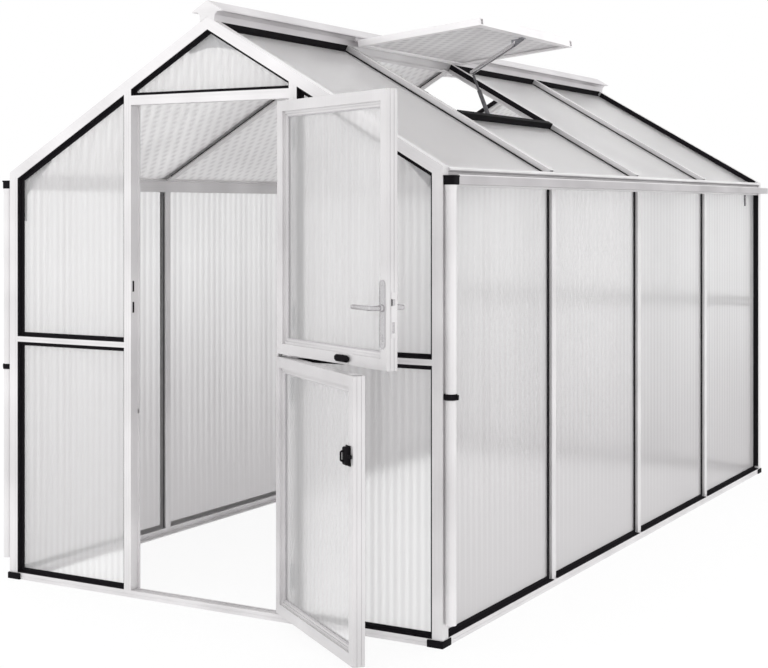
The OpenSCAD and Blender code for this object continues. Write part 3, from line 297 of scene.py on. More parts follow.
def noise(mat, source, socket, **values):
    """A cloudy pattern, its height in the output Fac."""
    return add_node(mat, "ShaderNodeTexNoise", values=values, links={"Vector": (source, socket)})


def map_range(mat, source, socket, from_low, from_high, to_low, to_high):
    """Carries a value from one span to another."""
    span = {"From Min": from_low, "From Max": from_high, "To Min": to_low, "To Max": to_high}
    return add_node(mat, "ShaderNodeMapRange", values=span, links={"Value": (source, socket)})


def maths(mat, operation, links, values=None):
    """One sum or comparison, its result in the output 0."""
    return add_node(mat, "ShaderNodeMath", {"operation": operation}, values, links)


# %% [markdown]
# ### Opening and closing a material
# Every material starts empty and ends with its output. In between comes a colour, mostly a
# ramp between two near tones, because no real surface has one flat colour.


# %% Helpers for materials
def new_material(name):
    mat = bpy.data.materials.new(name)
    mat.use_nodes = True
    mat.node_tree.nodes.clear()
    return mat


def close_material(mat, shader, height, strength, distance):
    """Adds the output, and a bump where a (node, output) pair gives a height."""
    if height is not None:
        values = {"Strength": strength, "Distance": distance}
        bump = add_node(mat, "ShaderNodeBump", values=values, links={"Height": height})
        mat.node_tree.links.new(bump.outputs["Normal"], shader.inputs["Normal"])
    add_node(mat, "ShaderNodeOutputMaterial", links={"Surface": (shader, 0)})
    return mat


def two_tones(mat, factor, dark, light, low=0.35, high=0.65):
    """A colour ramp between two hex colours."""
    ramp = add_node(mat, "ShaderNodeValToRGB", links={"Fac": factor})
    first, last = ramp.color_ramp.elements
    first.color = linear(dark)
    first.position = low
    last.color = linear(light)
    last.position = high
    return ramp


# %% [markdown]
# ### Extruded aluminium
# The profiles are pressed aluminium with a thin clear anodised skin. The die leaves very
# faint lines along the length, some 0.5 mm apart, and the skin makes the metal look almost
# white and softly glossy. The lines run with each profile, so the pattern is stretched
# along it, and there is one finish for each direction. They are drawn 2 mm apart, because
# finer ones would not show at this distance. The gutters, the ridge cap and the leaves get
# a darker copy of it as painted shade, and the vents a lighter copy as painted light.

# %% Aluminium finishes
ALONG_X, ALONG_Y, ALONG_Z = (0.004, 1, 1), (1, 0.004, 1), (1, 1, 0.004)


def aluminium(name, stretch, turn=(0, 0, 0), dark="D3D1D2", light="E7E5E6", rough=0.34):
    mat = new_material(name)
    where = object_space(mat)
    turned_to = mapping(mat, where, "Object", Rotation=turn)
    stretched = mapping(mat, turned_to, "Vector", Scale=stretch)
    lines = noise(mat, stretched, "Vector", Scale=500, Detail=3, Roughness=0.6)
    cloud = noise(mat, where, "Object", Scale=3, Detail=2)
    mixed = maths(mat, "MULTIPLY_ADD", {0: (lines, "Fac"), 2: (cloud, "Fac")}, {1: 0.35})
    tone = two_tones(mat, (mixed, 0), dark, light, 0.45, 0.9)
    sheen = map_range(mat, lines, "Fac", 0.3, 0.7, rough - 0.05, rough + 0.07)
    metal = add_node(mat, "ShaderNodeBsdfPrincipled", values={"Metallic": 0.4},
                     links={"Base Color": (tone, "Color"), "Roughness": (sheen, "Result")})
    return close_material(mat, metal, (lines, "Fac"), 0.12, 0.0004)


alu_x = aluminium("anodised_aluminium_across", ALONG_X)
alu_y = aluminium("anodised_aluminium_lengthways", ALONG_Y)
alu_z = aluminium("anodised_aluminium_upright", ALONG_Z)
# The next three copies are darker than the rest of the aluminium: painted shade.
alu_eave_painted_shade = aluminium("anodised_aluminium_eaves_painted_shade", ALONG_Y, dark="A7A4A6", light="C0BDBF", rough=0.38)
alu_ridge_painted_shade = aluminium("anodised_aluminium_ridge_painted_shade", ALONG_Y, dark="C2BFC1", light="D6D3D5", rough=0.4)
alu_leaf_painted_shade = aluminium("anodised_aluminium_door_leaf_painted_shade", ALONG_Z, dark="C8C6C7", light="DCDADB")
# This copy is lighter than the rest of the aluminium: painted light on the vents' shaded frames.
alu_vent_painted_light = aluminium("anodised_aluminium_vent_painted_light", ALONG_X, (0, LID_RISE, 0), "EBE9EA", "FBF9FA")
alu_right = aluminium("anodised_aluminium_right_slope", ALONG_X, (0, -SLOPE, 0))
print("aluminium finishes:", sum(m.name.startswith("anodised") for m in bpy.data.materials))

# %% [markdown]
# ### Twin-wall polycarbonate
# A sheet is two thin skins with ribs between them, about 11 mm apart. Light passes but is
# scattered, so a rail close behind a sheet shows and one two metres behind is a soft
# shadow. A rough, weakly bending transmission gives just that, and a thin coat adds the
# gloss of the outer skin. The ribs show as soft upright bands, so they are
# drawn 32 to 46 mm apart on the walls and the leaves. The roof's sheets are plain on top,
# where one grey tone is painted shade, and show a crosshatch from below, drawn 45 to 54 mm
# apart. The side sheets are painted greyer towards the ground, which is painted shade, and
# a weak cloud keeps every sheet from looking flat.


# %% Patterns of the sheets
def band_wave(mat, vector, direction, period):
    """Bands of the given period in metres along one axis."""
    kind = {"wave_type": "BANDS", "bands_direction": direction, "wave_profile": "SIN"}
    scale = {"Scale": 2 * math.pi / 20 / period}
    return add_node(mat, "ShaderNodeTexWave", kind, scale, {"Vector": (vector, "Vector")})


def crosshatch(mat, across, ribs, rib, top_shade):
    """A weave on the faces that look down, and one even painted shade on those that look up."""
    weave = band_wave(mat, across, "Y", rib)
    facing = add_node(mat, "ShaderNodeNewGeometry")
    split = add_node(mat, "ShaderNodeSeparateXYZ", links={"Vector": (facing, "Normal")})
    below = maths(mat, "LESS_THAN", {0: (split, "Z")}, {1: 0.0})
    both = maths(mat, "MULTIPLY", {0: (ribs, "Fac"), 1: (weave, "Fac")})
    # Painted shade: the side that looks up gets one darker tone.
    shade_on_top = map_range(mat, below, 0, 0.0, 1.0, top_shade, 0.0)
    return maths(mat, "MULTIPLY_ADD", {0: (both, 0), 1: (below, 0), 2: (shade_on_top, "Result")})


# %% [markdown]
# ### The sheets' finish
# The pattern sets two things at once: where it is strong the sheet is a little darker and
# lets a little less light through. The skin is given a roughness of 0.28. A smoother one
# looks right too, but the picture's noise filter then smears the ribs, and with a weak bend
# the things close behind the sheet stay sharp enough.

# %% Sheet finishes
SHEET_ROUGH = 0.28
GROUND_SHADE_TOP = 1.3
QUARTER, DIAGONAL = (0, 0, math.radians(90)), (0, 0, math.radians(45))


def twin_wall(name, turn, see, rib, streaks, ior, body="FFFFFF", mark="DAD8D9", ground_shade=0.0, top_shade=None):
    """A sheet: how clear it is, the spacing and strength of its ribs, and how much it bends light.

    Only roof sheets get a top shade: how dark the plain side that looks up is painted, as painted shade.
    """
    mat = new_material(name)
    where = object_space(mat)
    across = mapping(mat, where, "Object", Rotation=turn)
    ribs = band_wave(mat, across, "X", rib)
    drawn = mapping(mat, across, "Vector", Scale=(1, 1, 0.0008))
    streak = noise(mat, drawn, "Vector", Scale=9, Detail=1.5, Roughness=0.5)
    uneven = map_range(mat, streak, "Fac", 0.3, 0.7, 0.45, 1.0)
    pattern = maths(mat, "MULTIPLY", {0: (ribs, "Fac"), 1: (uneven, "Result")})
    roof = top_shade is not None
    if roof:
        pattern = crosshatch(mat, across, ribs, rib, top_shade)
    cloud = noise(mat, where, "Object", Scale=1.1, Detail=2, Distortion=0.2)
    # Soft grey blotches from a cloud pattern, much stronger on the roof.
    blotches = map_range(mat, cloud, "Fac", 0.4, 0.68, 0.0, 0.4 if roof else 0.08)
    marked = maths(mat, "MULTIPLY_ADD", {0: (pattern, 0), 2: (blotches, 0)}, {1: streaks})
    height = add_node(mat, "ShaderNodeSeparateXYZ", links={"Vector": (where, "Object")})
    # Painted shade: the sheet gets greyer towards the ground, fading out 1.3 m up.
    low = map_range(mat, height, "Z", 0.0, GROUND_SHADE_TOP, ground_shade, 0.0)
    amount = maths(mat, "ADD", {0: (marked, 0), 1: (low, "Result")})
    tone = add_node(mat, "ShaderNodeMix", {"data_type": "RGBA"}, links={"Factor": (amount, 0)})
    tone.inputs["A"].default_value = linear(body)
    tone.inputs["B"].default_value = linear(mark)
    clear = map_range(mat, amount, 0, 0.0, 0.9, see, see - 0.15)
    skin = {"Roughness": SHEET_ROUGH, "IOR": ior, "Coat Weight": 0.15, "Coat Roughness": 0.15}
    sheet = add_node(mat, "ShaderNodeBsdfPrincipled", values=skin,
                     links={"Base Color": (tone, 2), "Transmission Weight": (clear, "Result")})
    return close_material(mat, sheet, None if roof else (ribs, "Fac"), 0.02, 0.0006)


sheet_gable = twin_wall("twin_wall_sheet_gable", (0, 0, 0), see=0.77, rib=0.032, streaks=0.55, ior=1.08)
sheet_side = twin_wall("twin_wall_sheet_side", QUARTER, see=0.82, rib=0.046, streaks=0.62, ior=1.08,
                       ground_shade=0.95)
sheet_roof = twin_wall("twin_wall_sheet_roof", DIAGONAL, see=0.88, rib=0.045, streaks=0.85, ior=1.15,
                       body="FFFEFE", top_shade=0.48)
sheet_lid = twin_wall("twin_wall_sheet_vent", DIAGONAL, see=0.95, rib=0.054, streaks=1.5, ior=1.15,
                      body="FFFEFE", mark="D4D1D3", top_shade=0.3)
sheet_upper = twin_wall("twin_wall_sheet_upper_leaf", (0, 0, -leaf_turn(UPPER)), see=0.78, rib=0.04,
                        streaks=0.6, ior=1.06)
sheet_lower = twin_wall("twin_wall_sheet_lower_leaf", (0, 0, -leaf_turn(LOWER)), see=0.78, rib=0.04,
                        streaks=0.6, ior=1.06)
print("sheet finishes:", sum(m.name.startswith("twin_wall") for m in bpy.data.materials))

# %% [markdown]
# ### Rubber, nylon and steel
# The seals are EPDM rubber: deep grey, matt, with a slightly uneven skin. Clips, caps and
# the small latches are moulded nylon, a little smoother and with a fine spark-eroded grain.
# The handle is satin stainless steel. Brackets and bolts are zinc plated, which is a touch
# bluer and mottled. The openers' struts and the wall brackets are black zinc. The gaskets
# round the leaves' panes are a light grey rubber.


# %% Rubber, nylon and steel finishes
def speckled(name, dark, light, rough, grain, metallic=0.0, depth=0.0002, strength=0.2,
             stretch=(1, 1, 1), shine=0.5):
    mat = new_material(name)
    where = object_space(mat)
    stretched = mapping(mat, where, "Object", Scale=stretch)
    fine = noise(mat, stretched, "Vector", Scale=grain, Detail=4, Roughness=0.65)
    tone = two_tones(mat, (fine, "Fac"), dark, light)
    sheen = map_range(mat, fine, "Fac", 0.0, 1.0, rough - 0.06, rough + 0.06)
    surface = {"Metallic": metallic, "Specular IOR Level": shine}
    shader = add_node(mat, "ShaderNodeBsdfPrincipled", values=surface,
                      links={"Base Color": (tone, "Color"), "Roughness": (sheen, "Result")})
    return close_material(mat, shader, (fine, "Fac"), strength, depth)


rubber = speckled("epdm_rubber_seal", "19171A", "232124", rough=0.66, grain=260, shine=0.04)
nylon = speckled("moulded_black_nylon", "131214", "1D1B1E", rough=0.6, grain=1400, shine=0.03)
satin_steel = speckled("satin_stainless_steel", "BDBBBD", "D0CED0", rough=0.22, grain=420, metallic=1.0,
                       depth=0.0001, strength=0.1, stretch=(0.05, 1, 1))
dark_zinc = speckled("black_zinc_plated_steel", "58575A", "6B6A6D", rough=0.4, grain=160, metallic=0.8,
                     depth=0.0001, strength=0.12)
zinc = speckled("zinc_plated_steel", "8F8F94", "ACACB1", rough=0.34, grain=160, metallic=0.9,
                depth=0.0001, strength=0.12)
grey_gasket = speckled("grey_wedge_gasket", "B6B3B6", "C6C3C6", rough=0.6, grain=260)
small_finishes = (rubber, nylon, satin_steel, dark_zinc, zinc, grey_gasket)
print("rubber, nylon and steel finishes:", len(small_finishes))

# %% [markdown]
# ## Dress the frame
# The solids that already have the right shape only need their finish. A loop gives each
# one the finish that runs with its length.

# %% Finishes of the frame's own pieces
FINISH = {
    alu_x: "gable_sills door_header mid_rails",
    alu_y: "side_sills gutter_end_caps ridge_beam eave_beams",
    alu_ridge_painted_shade: "ridge_cap",
    alu_eave_painted_shade: "gutters",
    alu_z: "corner_posts door_posts rear_gable_posts wall_bars downpipes strike_plate",
    alu_right: "gable_rafters roof_bars",
    alu_vent_painted_light: "right_vent_frame left_vent_frame",
    alu_leaf_painted_shade: "upper_leaf_frame lower_leaf_frame lock_faceplate",
    sheet_gable: "front_gable_panels rear_gable_panels",
    sheet_side: "wall_panels",
    sheet_roof: "roof_panels",
    sheet_lid: "right_vent_panel left_vent_panel",
    sheet_upper: "upper_leaf_panel",
    sheet_lower: "lower_leaf_panel",
    rubber: "gable_seals wall_seals roof_seals",
    nylon: "base_corner_caps gutter_outlets pipe_clips vent_sills "
           "coupling_knob lower_latch_case lower_latch_slide",
    satin_steel: "handle_plates door_lever key_plug latch_bolt dead_bolt",
    dark_zinc: "wall_bracket",
    zinc: "frame_gussets frame_bolts hinge_brackets hinge_pins upper_hinge_straps "
          "lower_hinge_straps opener_brackets lock_case right_vent_lug left_vent_lug "
          "right_opener_lower_arm right_opener_upper_arm left_opener_lower_arm left_opener_upper_arm",
}
dressed = 0
for finish, names in FINISH.items():
    for node in names.split():
        slots = nodes[node].data.materials
        slots.clear()
        slots.append(finish)
        dressed += 1
print("dressed:", dressed, "of", len(nodes))

# %% [markdown]
# ## Bent bars
# Levers and grips are bars bent cold over a form. Each is drawn as a curve with a round
# section: straight runs between corner points, and each corner replaced by a short bend.
# The curve is then made a mesh, so that its ends can be rounded over.

# %% Helper for bent bars
BEND_STEPS = 6


def tube(name, points, radius, bend=0.0):
    """A round bar along corner points, each inner corner rounded to the given bend."""
    clear_selection()
    path = [Vector(points[0])]
    for corner in zip(points, points[1:], points[2:]):
        a, b, c = (Vector(p) for p in corner)
        start = b + (a - b).normalized() * bend
        end = b + (c - b).normalized() * bend
        for i in range(BEND_STEPS + 1):
            u = i / BEND_STEPS
            path.append((1 - u) ** 2 * start + 2 * u * (1 - u) * b + u * u * end)
    path.append(Vector(points[-1]))
    bpy.ops.curve.primitive_nurbs_path_add()
    o = bpy.context.object
    o.name = name
    o.data.splines.clear()
    line = o.data.splines.new("POLY")
    line.points.add(len(path) - 1)
    for q, v in zip(line.points, path):
        q.co = (*v, 1)
    o.data.bevel_depth = radius
    o.data.bevel_resolution = 3
    o.data.use_fill_caps = True
    bpy.ops.object.convert(target="MESH")
    o = bpy.context.object
    bake_place(o)
    outward(o)
    return bevel(o, radius * 0.45, 3, 60)


# %% [markdown]
# ## Fitting a piece
# Every piece made here gets its finish, the body that it moves with, and the slot that
# tells its material. Where it stands for solids of the frame, these are hidden.


# %% Helpers for fitting
def fit(o, body, finish, replaced=()):
    """Gives a piece its finish and its body, and hides the solids that it stands for."""
    o.data.materials.clear()
    o.data.materials.append(finish)
    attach(o, body)
    if replaced:
        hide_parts(*replaced)
    return o


def on_bench(o, matrix, body, finish, replaced=()):
    """Swings a bench-made piece into place and fits it."""
    bake_place(o, matrix)
    return fit(o, body, finish, replaced)


# %% [markdown]
# ## Lever handles
# A lever is one bent bar: it comes straight out of its rosette, turns a tight corner and
# runs level towards the hinge. The same lever sits on both faces, joined by the square
# spindle in the lock, so the two are made by one loop and joined into one piece.

# %% Levers
upper_at, lower_at = leaf_matrix(UPPER), leaf_matrix(LOWER)
LOCK_S, LEVER_Z, KEY_Z = 0.720, 1.222, 1.122
LEVER_OUT, LEVER_REACH, LEVER_R, LEVER_BEND = 0.045, 0.116, 0.0085, 0.016
NECK = [(0.0025, 0.0125), (0.009, 0.0125), (0.012, 0.0105)]
SPINDLE = 0.004
LEAF_SIDES = ((1, 0.0), (-1, -LEAF_T))


def sided(side, stations):
    """Stations that run along the axis for side 1 and against it for side -1."""
    return [(side * along, radius) for along, radius in stations]


levers = []
for side, face in LEAF_SIDES:
    out = face + side * LEVER_OUT
    corners = [(LOCK_S, face + side * SPINDLE, LEVER_Z), (LOCK_S, out, LEVER_Z),
               (LOCK_S - LEVER_REACH, out, LEVER_Z)]
    levers.append(tube("lever_bar", corners, LEVER_R, LEVER_BEND))
    levers.append(turned("lever_neck", sided(side, NECK), (LOCK_S, face, LEVER_Z), "Y"))
spindle_lo = (LOCK_S - SPINDLE, -LEAF_T - SPINDLE, LEVER_Z - SPINDLE)
spindle_hi = (LOCK_S + SPINDLE, SPINDLE, LEVER_Z + SPINDLE)
levers.append(block("lever_spindle", spindle_lo, spindle_hi, 0.0005))
handle = join("lever_handles", levers)
on_bench(handle, upper_at, "lever", satin_steel, ("door_lever",))
print("lever corners:", len(handle.data.vertices))

# %% [markdown]
# ## Handle plates
# The long plates have half-round ends and a soft rolled edge, and two screws with low domed
# heads hold each. They are cut from strip: one outline with round ends, pulled to its
# thickness. A ring lies round the key below the lever.


# %% Handle plates and their screws
def strip_outline(a, b, r, y, steps):
    """Outline in x and z of a flat strip with round ends at a and b, at depth y."""
    d = (b - a).normalized()
    start = math.atan2(d.z, d.x)
    points = []
    for centre, turn in ((b, -90), (a, 90)):
        for i in range(steps + 1):
            angle = start + math.radians(turn + i * 180 / steps)
            points.append((centre.x + r * math.cos(angle), y, centre.z + r * math.sin(angle)))
    return points


def screw_head(name, at, r, height, axis):
    """A low domed head. A height below zero points it against the axis."""
    stations = [(0, r), (height * 0.35, r * 0.97), (height * 0.75, r * 0.75), (height, r * 0.3)]
    return turned(name, stations, at, axis, 20)


PLATE_Z0, PLATE_Z1, PLATE_R, PLATE_T = 1.085, 1.316, 0.017, 0.0026
PLATE_SCREWS = (1.103, 1.298)
KEY_RING = [(0.0020, 0.0125), (0.0038, 0.0118), (0.0042, 0.0095)]
low_end = Vector((LOCK_S, 0, PLATE_Z0 + PLATE_R))
high_end = Vector((LOCK_S, 0, PLATE_Z1 - PLATE_R))
plates = []
for side, face in LEAF_SIDES:
    outline = strip_outline(low_end, high_end, PLATE_R, face, 10)
    plates.append(pull_section("plate", outline, (0, side * PLATE_T, 0), 0.0009))
    for z in PLATE_SCREWS:
        at = (LOCK_S, face + side * 0.0024, z)
        plates.append(screw_head("plate_screw", at, 0.0042, side * 0.0016, "Y"))
    plates.append(turned("key_ring", sided(side, KEY_RING), (LOCK_S, face, KEY_Z), "Y"))
print("plate parts:", len(plates))
plate_pair = join("handle_plate_pair", plates)
on_bench(plate_pair, upper_at, "upper_door", satin_steel, ("handle_plates",))

# %% [markdown]
# ## Shade in the recess beside the latch
# The latch comes out of a slot in the lock's faceplate that is a little wider than the
# latch itself. Light doesn't reach into it, so a thin black block just proud of the
# faceplate paints it as a short black line of painted shade.

# %% Painted shade in the latch recess
RECESS_Z0, RECESS_Z1, LATCH_N = 1.229, 1.253, -0.0235
recess_lo = (LEAF_S1 + 0.0016, LATCH_N - 0.0018, RECESS_Z0)
recess_hi = (LEAF_S1 + 0.0023, LATCH_N + 0.0015, RECESS_Z1)
# A black block that stands for the shade in the slot: painted shade.
slot_shade = block("latch_slot_shade", recess_lo, recess_hi, 0.0003, 1)
on_bench(slot_shade, upper_at, "upper_door", nylon)
print("recess height:", round(RECESS_Z1 - RECESS_Z0, 4))

# %% [markdown]
# ## Shade in the slots of the strike plate
# The plate on the door post has one slot for the latch and one for the dead bolt. Behind
# them the post is hollow and lies in shade, so two thin black blocks paint them as two
# short black marks of painted shade.

# %% Painted shade in the strike slots
STRIKE_X, STRIKE_Y = -0.3768, -2.009
SLOT_DEEP, SLOT_HALF_Y, SLOT_HALF_Z = 0.0011, 0.0056, 0.0215
SLOTS_Z = (1.157, 1.241)
# Each black block is painted shade in a slot.
painted_slot_shades = []
for z in SLOTS_Z:
    lo = (STRIKE_X - SLOT_DEEP, STRIKE_Y - SLOT_HALF_Y, z - SLOT_HALF_Z)
    hi = (STRIKE_X, STRIKE_Y + SLOT_HALF_Y, z + SLOT_HALF_Z)
    painted_slot_shades.append(block("painted_slot_shade", lo, hi, 0.0003, 1))
print("strike slots:", len(painted_slot_shades))
fit(join("painted_slot_shades", painted_slot_shades), "frame", nylon)

# %% [markdown]
# ## Turn button between the leaves
# A black nylon button under the window of the upper leaf turns a quarter to lap the lower
# one. Its top is cut in facets, so that fingers find it in the dark: a long eight-sided
# outline, pulled out and drawn in towards its top.

# %% Turn button
BUTTON_S, BUTTON_Z, BUTTON_UNDER, BUTTON_T = 0.471, 1.035, 0.0034, 0.011
BUTTON_STEPS = [(0.5, 1), (1.0, 0.8)]
LONG_EIGHT = [(0.045, -0.005), (0.045, 0.005), (0.034, 0.012), (-0.034, 0.012),
              (-0.045, 0.005), (-0.045, -0.005), (-0.034, -0.012), (0.034, -0.012)]


def faceted(name, outline, along, steps):
    """Pulls an outline in steps of (share of the way, size) so that its sides slope in."""
    share_before, size_before = steps[0]
    o = pull_section(name, outline, [c * share_before for c in along], 0)
    make_active(o)
    bpy.ops.object.mode_set(mode="EDIT")
    bpy.ops.mesh.select_mode(type="FACE")
    mesh = bmesh.from_edit_mesh(o.data)
    way = Vector(along).normalized()
    for f in mesh.faces:
        f.select = f.normal.dot(way) > 0.9
    bmesh.update_edit_mesh(o.data)
    mid = sum((Vector(c) for c in outline), Vector()) / len(outline)
    for share, size in steps[1:]:
        step = [c * (share - share_before) for c in along]
        bpy.ops.mesh.extrude_region_move(TRANSFORM_OT_translate={"value": step})
        k = size / size_before
        bpy.ops.transform.resize(value=(k, k, k), center_override=mid + Vector(along) * share)
        share_before, size_before = share, size
    bpy.ops.object.mode_set(mode="OBJECT")
    outward(o)
    return bevel(o, 0.0008, 2, 20)


outline = [(BUTTON_S + x, -LEAF_T - BUTTON_UNDER, BUTTON_Z + z) for x, z in LONG_EIGHT]
button = faceted("button_top", outline, (0, -BUTTON_T, 0), BUTTON_STEPS)
stations = [(-0.0006, 0.0125), (-BUTTON_UNDER, 0.0118)]
collar = turned("button_collar", stations, (BUTTON_S, -LEAF_T, BUTTON_Z), "Y")
button = join("turn_button_body", [button, collar])
on_bench(button, upper_at, "turn_button", nylon, ("coupling_knob",))
print("button corners:", len(button.data.vertices))

# %% [markdown]
# ## Latch of the lower leaf
# The lower leaf is held by a small slide in a rounded nylon case. A C-shaped grip stands
# out of it, wide enough for one finger. The case is a block with generous round edges, and
# the grip is a bent bar.

# %% Lower latch
LOWER_LATCH_Z = 0.739


def on_latch(inwards, out, up):
    """A point of the latch, from the leaf's free edge, its inner face and the latch's middle."""
    return (LEAF_S1 - inwards, -LEAF_T - out, LOWER_LATCH_Z + up)


case = block("latch_case", on_latch(0.056, 0.018, -0.030), on_latch(0.022, 0, 0.030), 0.006, 4)
rim = block("latch_foot", on_latch(0.059, 0.0035, -0.034), on_latch(0.019, 0, 0.034), 0.0016, 2)
latch_body = [case, rim]
for up in (-0.022, 0.022):
    latch_body.append(screw_head("latch_screw", on_latch(0.039, 0.0178, up), 0.0035, -0.0012, "Y"))
fixed = join("lower_latch_body", latch_body)
on_bench(fixed, lower_at, "lower_door", nylon, ("lower_latch_case",))
tongue = block("latch_tongue", on_latch(0.048, 0.011, -0.006), on_latch(0.004, 0.003, 0.006), 0.0012)
hook = [on_latch(inwards, out, up) for inwards, out, up in
        ((0.044, 0.016, 0.016), (0.042, 0.027, 0.016), (0.042, 0.027, -0.016), (0.044, 0.016, -0.016))]
grip = tube("latch_grip", hook, 0.0036, 0.006)
slide = join("lower_latch_grip", [tongue, grip])
on_bench(slide, lower_at, "lower_latch", nylon, ("lower_latch_slide",))
print("lower latch parts:", len(latch_body) + 2)

# %% [markdown]
# ## Beads and gaskets round the leaves' panes
# An aluminium bead holds each pane in its frame, and where it meets the sheet a thin grey
# wedge gasket is pressed in. From the front the gasket is no more than a fine line that
# frames the pane, but without it a pane looks painted on. Four mitred strips make one frame.

# %% Pane beads and gaskets
BEAD_W, BEAD_T, GASKET_W, GASKET_T = 0.009, 0.005, 0.0035, 0.0022
PANE_FACES = ((-0.016, 1, "outer"), (-0.026, -1, "inner"))


def inset(box, by):
    """The same box (x0, x1, z0, z1), smaller all round."""
    x0, x1, z0, z1 = box
    return (x0 + by, x1 - by, z0 + by, z1 - by)


def corners_of(box):
    x0, x1, z0, z1 = box
    return [(x0, z0), (x1, z0), (x1, z1), (x0, z1)]


def pane_frame(name, box, n, side, w, t):
    """Four mitred strips round a pane, lying on the sheet at depth n."""
    outer, inner = corners_of(box), corners_of(inset(box, w))
    strips = []
    for i in range(4):
        j = (i + 1) % 4
        flat = [(x, n, z) for x, z in (outer[i], outer[j], inner[j], inner[i])]
        strips.append(pull_section("strip", flat, (0, side * t, 0), 0.0004))
    return join(name, strips)


frames = []
for leaf, at, body in ((UPPER, upper_at, "upper_door"), (LOWER, lower_at, "lower_door")):
    opening = inset((LEAF_S0, LEAF_S1, leaf["z0"], leaf["z1"]), LEAF_FACE)
    pane = inset(opening, BEAD_W)
    for n, side, word in PANE_FACES:
        bead = pane_frame("%s_%s_bead" % (body, word), opening, n, side, BEAD_W, BEAD_T)
        frames.append(on_bench(bead, at, body, alu_leaf_painted_shade))
        ring = pane_frame("%s_%s_gasket" % (body, word), pane, n, side, GASKET_W, GASKET_T)
        frames.append(on_bench(ring, at, body, grey_gasket))
print("beads and gaskets:", len(frames))

# %% [markdown]
# ## Seals inside the bars
# Each bar of the walls and of the roof grips two sheets. On the inside a thin black lip
# lies between the bar's flange and the sheet, which draws a fine dark line along each bar
# when one looks in through the door. Beside a vent the lip ends at the cross bar.

# %% Inner seals
BAY = HALF_D / 2
BARS = (-BAY, 0.0, BAY)
BAR_HALF, PANE_BACK, LIP_W, LIP_T = 0.019, 0.036, 0.005, 0.0025
WALL_Z0, WALL_Z1, CORNER_Z = 0.030, 1.628, 1.702826
ROOF_S0, ROOF_S1, VENT_S = 0.070, 1.140, 0.509


def sided_block(name, side, lo, hi, edge, segments=2):
    """A block given for the right side of the house. Side -1 puts it on the left."""
    x0, x1 = sorted((side * lo[0], side * hi[0]))
    return block(name, (x0, *lo[1:]), (x1, *hi[1:]), edge, segments)


def roof_point(side, s, w, y):
    """A point of a roof slope: s up the slope from the eaves, w below its outer face."""
    x = HALF_W - s * math.cos(SLOPE) - w * math.sin(SLOPE)
    return Vector((side * x, y, CORNER_Z + s * math.sin(SLOPE) - w * math.cos(SLOPE)))


def wall_lip(side, y0, y1):
    lo = (HALF_W - PANE_BACK - LIP_T, y0, WALL_Z0)
    hi = (HALF_W - PANE_BACK, y1, WALL_Z1)
    return sided_block("wall_lip", side, lo, hi, 0.0005, 1)


def roof_lip(side, y0, y1, top):
    near, far = PANE_BACK, PANE_BACK + LIP_T
    section = [roof_point(side, ROOF_S0, w, y) for w, y in ((near, y0), (near, y1), (far, y1), (far, y0))]
    way_up = roof_point(side, top, 0, 0) - roof_point(side, ROOF_S0, 0, 0)
    return pull_section("roof_lip", section, way_up, 0.0005)


lips = []
for side in (1, -1):
    vent_middle = -side * BAY / 2
    for bar in BARS:
        for edge in (1, -1):
            y0, y1 = sorted((bar + edge * BAR_HALF, bar + edge * (BAR_HALF + LIP_W)))
            beside_vent = abs(bar + edge * BAY / 2 - vent_middle) < 0.01
            lips.append(wall_lip(side, y0, y1))
            lips.append(roof_lip(side, y0, y1, VENT_S if beside_vent else ROOF_S1))
print("inner lips:", len(lips))
fit(join("inner_bar_seals", lips), "frame", rubber)

# %% [markdown]
# ## Ridge cap ends
# The cap over the ridge is hollow. A thin plate closes each end, so that wasps stay out.
# Its outline follows the cap: the two wings, the fall below them and the foot on the ridge.

# %% Ridge cap ends
APEX_Z, CAP_Z = 2.2946, 2.3576
FOOT_HALF, NECK_HALF, FALL_HALF, WING_HALF, WING_T = 0.033, 0.036, 0.048, 0.072, 0.004
END_T = 0.0016
under = CAP_Z - WING_HALF * math.tan(SLOPE) - WING_T
half = [(FOOT_HALF, APEX_Z - FOOT_HALF * math.tan(SLOPE)), (NECK_HALF, under - 0.012),
        (FALL_HALF, under), (WING_HALF, under), (WING_HALF, under + WING_T)]
outline = half + [(0, CAP_Z)] + [(-x, z) for x, z in reversed(half)] + [(0, APEX_Z)]
for name, y, thick in (("ridge_end_front", -HALF_D, -END_T), ("ridge_end_rear", HALF_D + 0.007, END_T)):
    end = pull_section(name, [(x, y, z) for x, z in outline], (0, thick, 0), 0.0004)
    fit(end, "frame", alu_x)
print("corners of the end plate's outline:", len(outline))

# %% [markdown]
# ## Gutters' rolled edge
# A gutter of thin sheet would bend like paper, so its outer edge is rolled into a tube.
# The roll is what draws the long light line below the eaves. It is a bar along the
# gutter's upper outer corner.

# %% Gutter beads
HOUSE_SIDES = ((1, "right"), (-1, "left"))
GUTTER_Y0, GUTTER_Y1, ROLL_X, ROLL_Z, ROLL_R = -1.979, 2.0262, 1.0645, 1.6695, 0.0034
for side, word in HOUSE_SIDES:
    ends = [(side * ROLL_X, y, ROLL_Z) for y in (GUTTER_Y0, GUTTER_Y1)]
    fit(tube("gutter_bead_" + word, ends, ROLL_R), "frame", alu_y)
print("length of a rolled edge:", round(GUTTER_Y1 - GUTTER_Y0, 3))

# %% [markdown]
# ## Gutter outlets
# The outlet at the front end of each gutter is a nylon moulding with round edges: a box
# with a lip round its top. A metal collar below it takes the pipe.

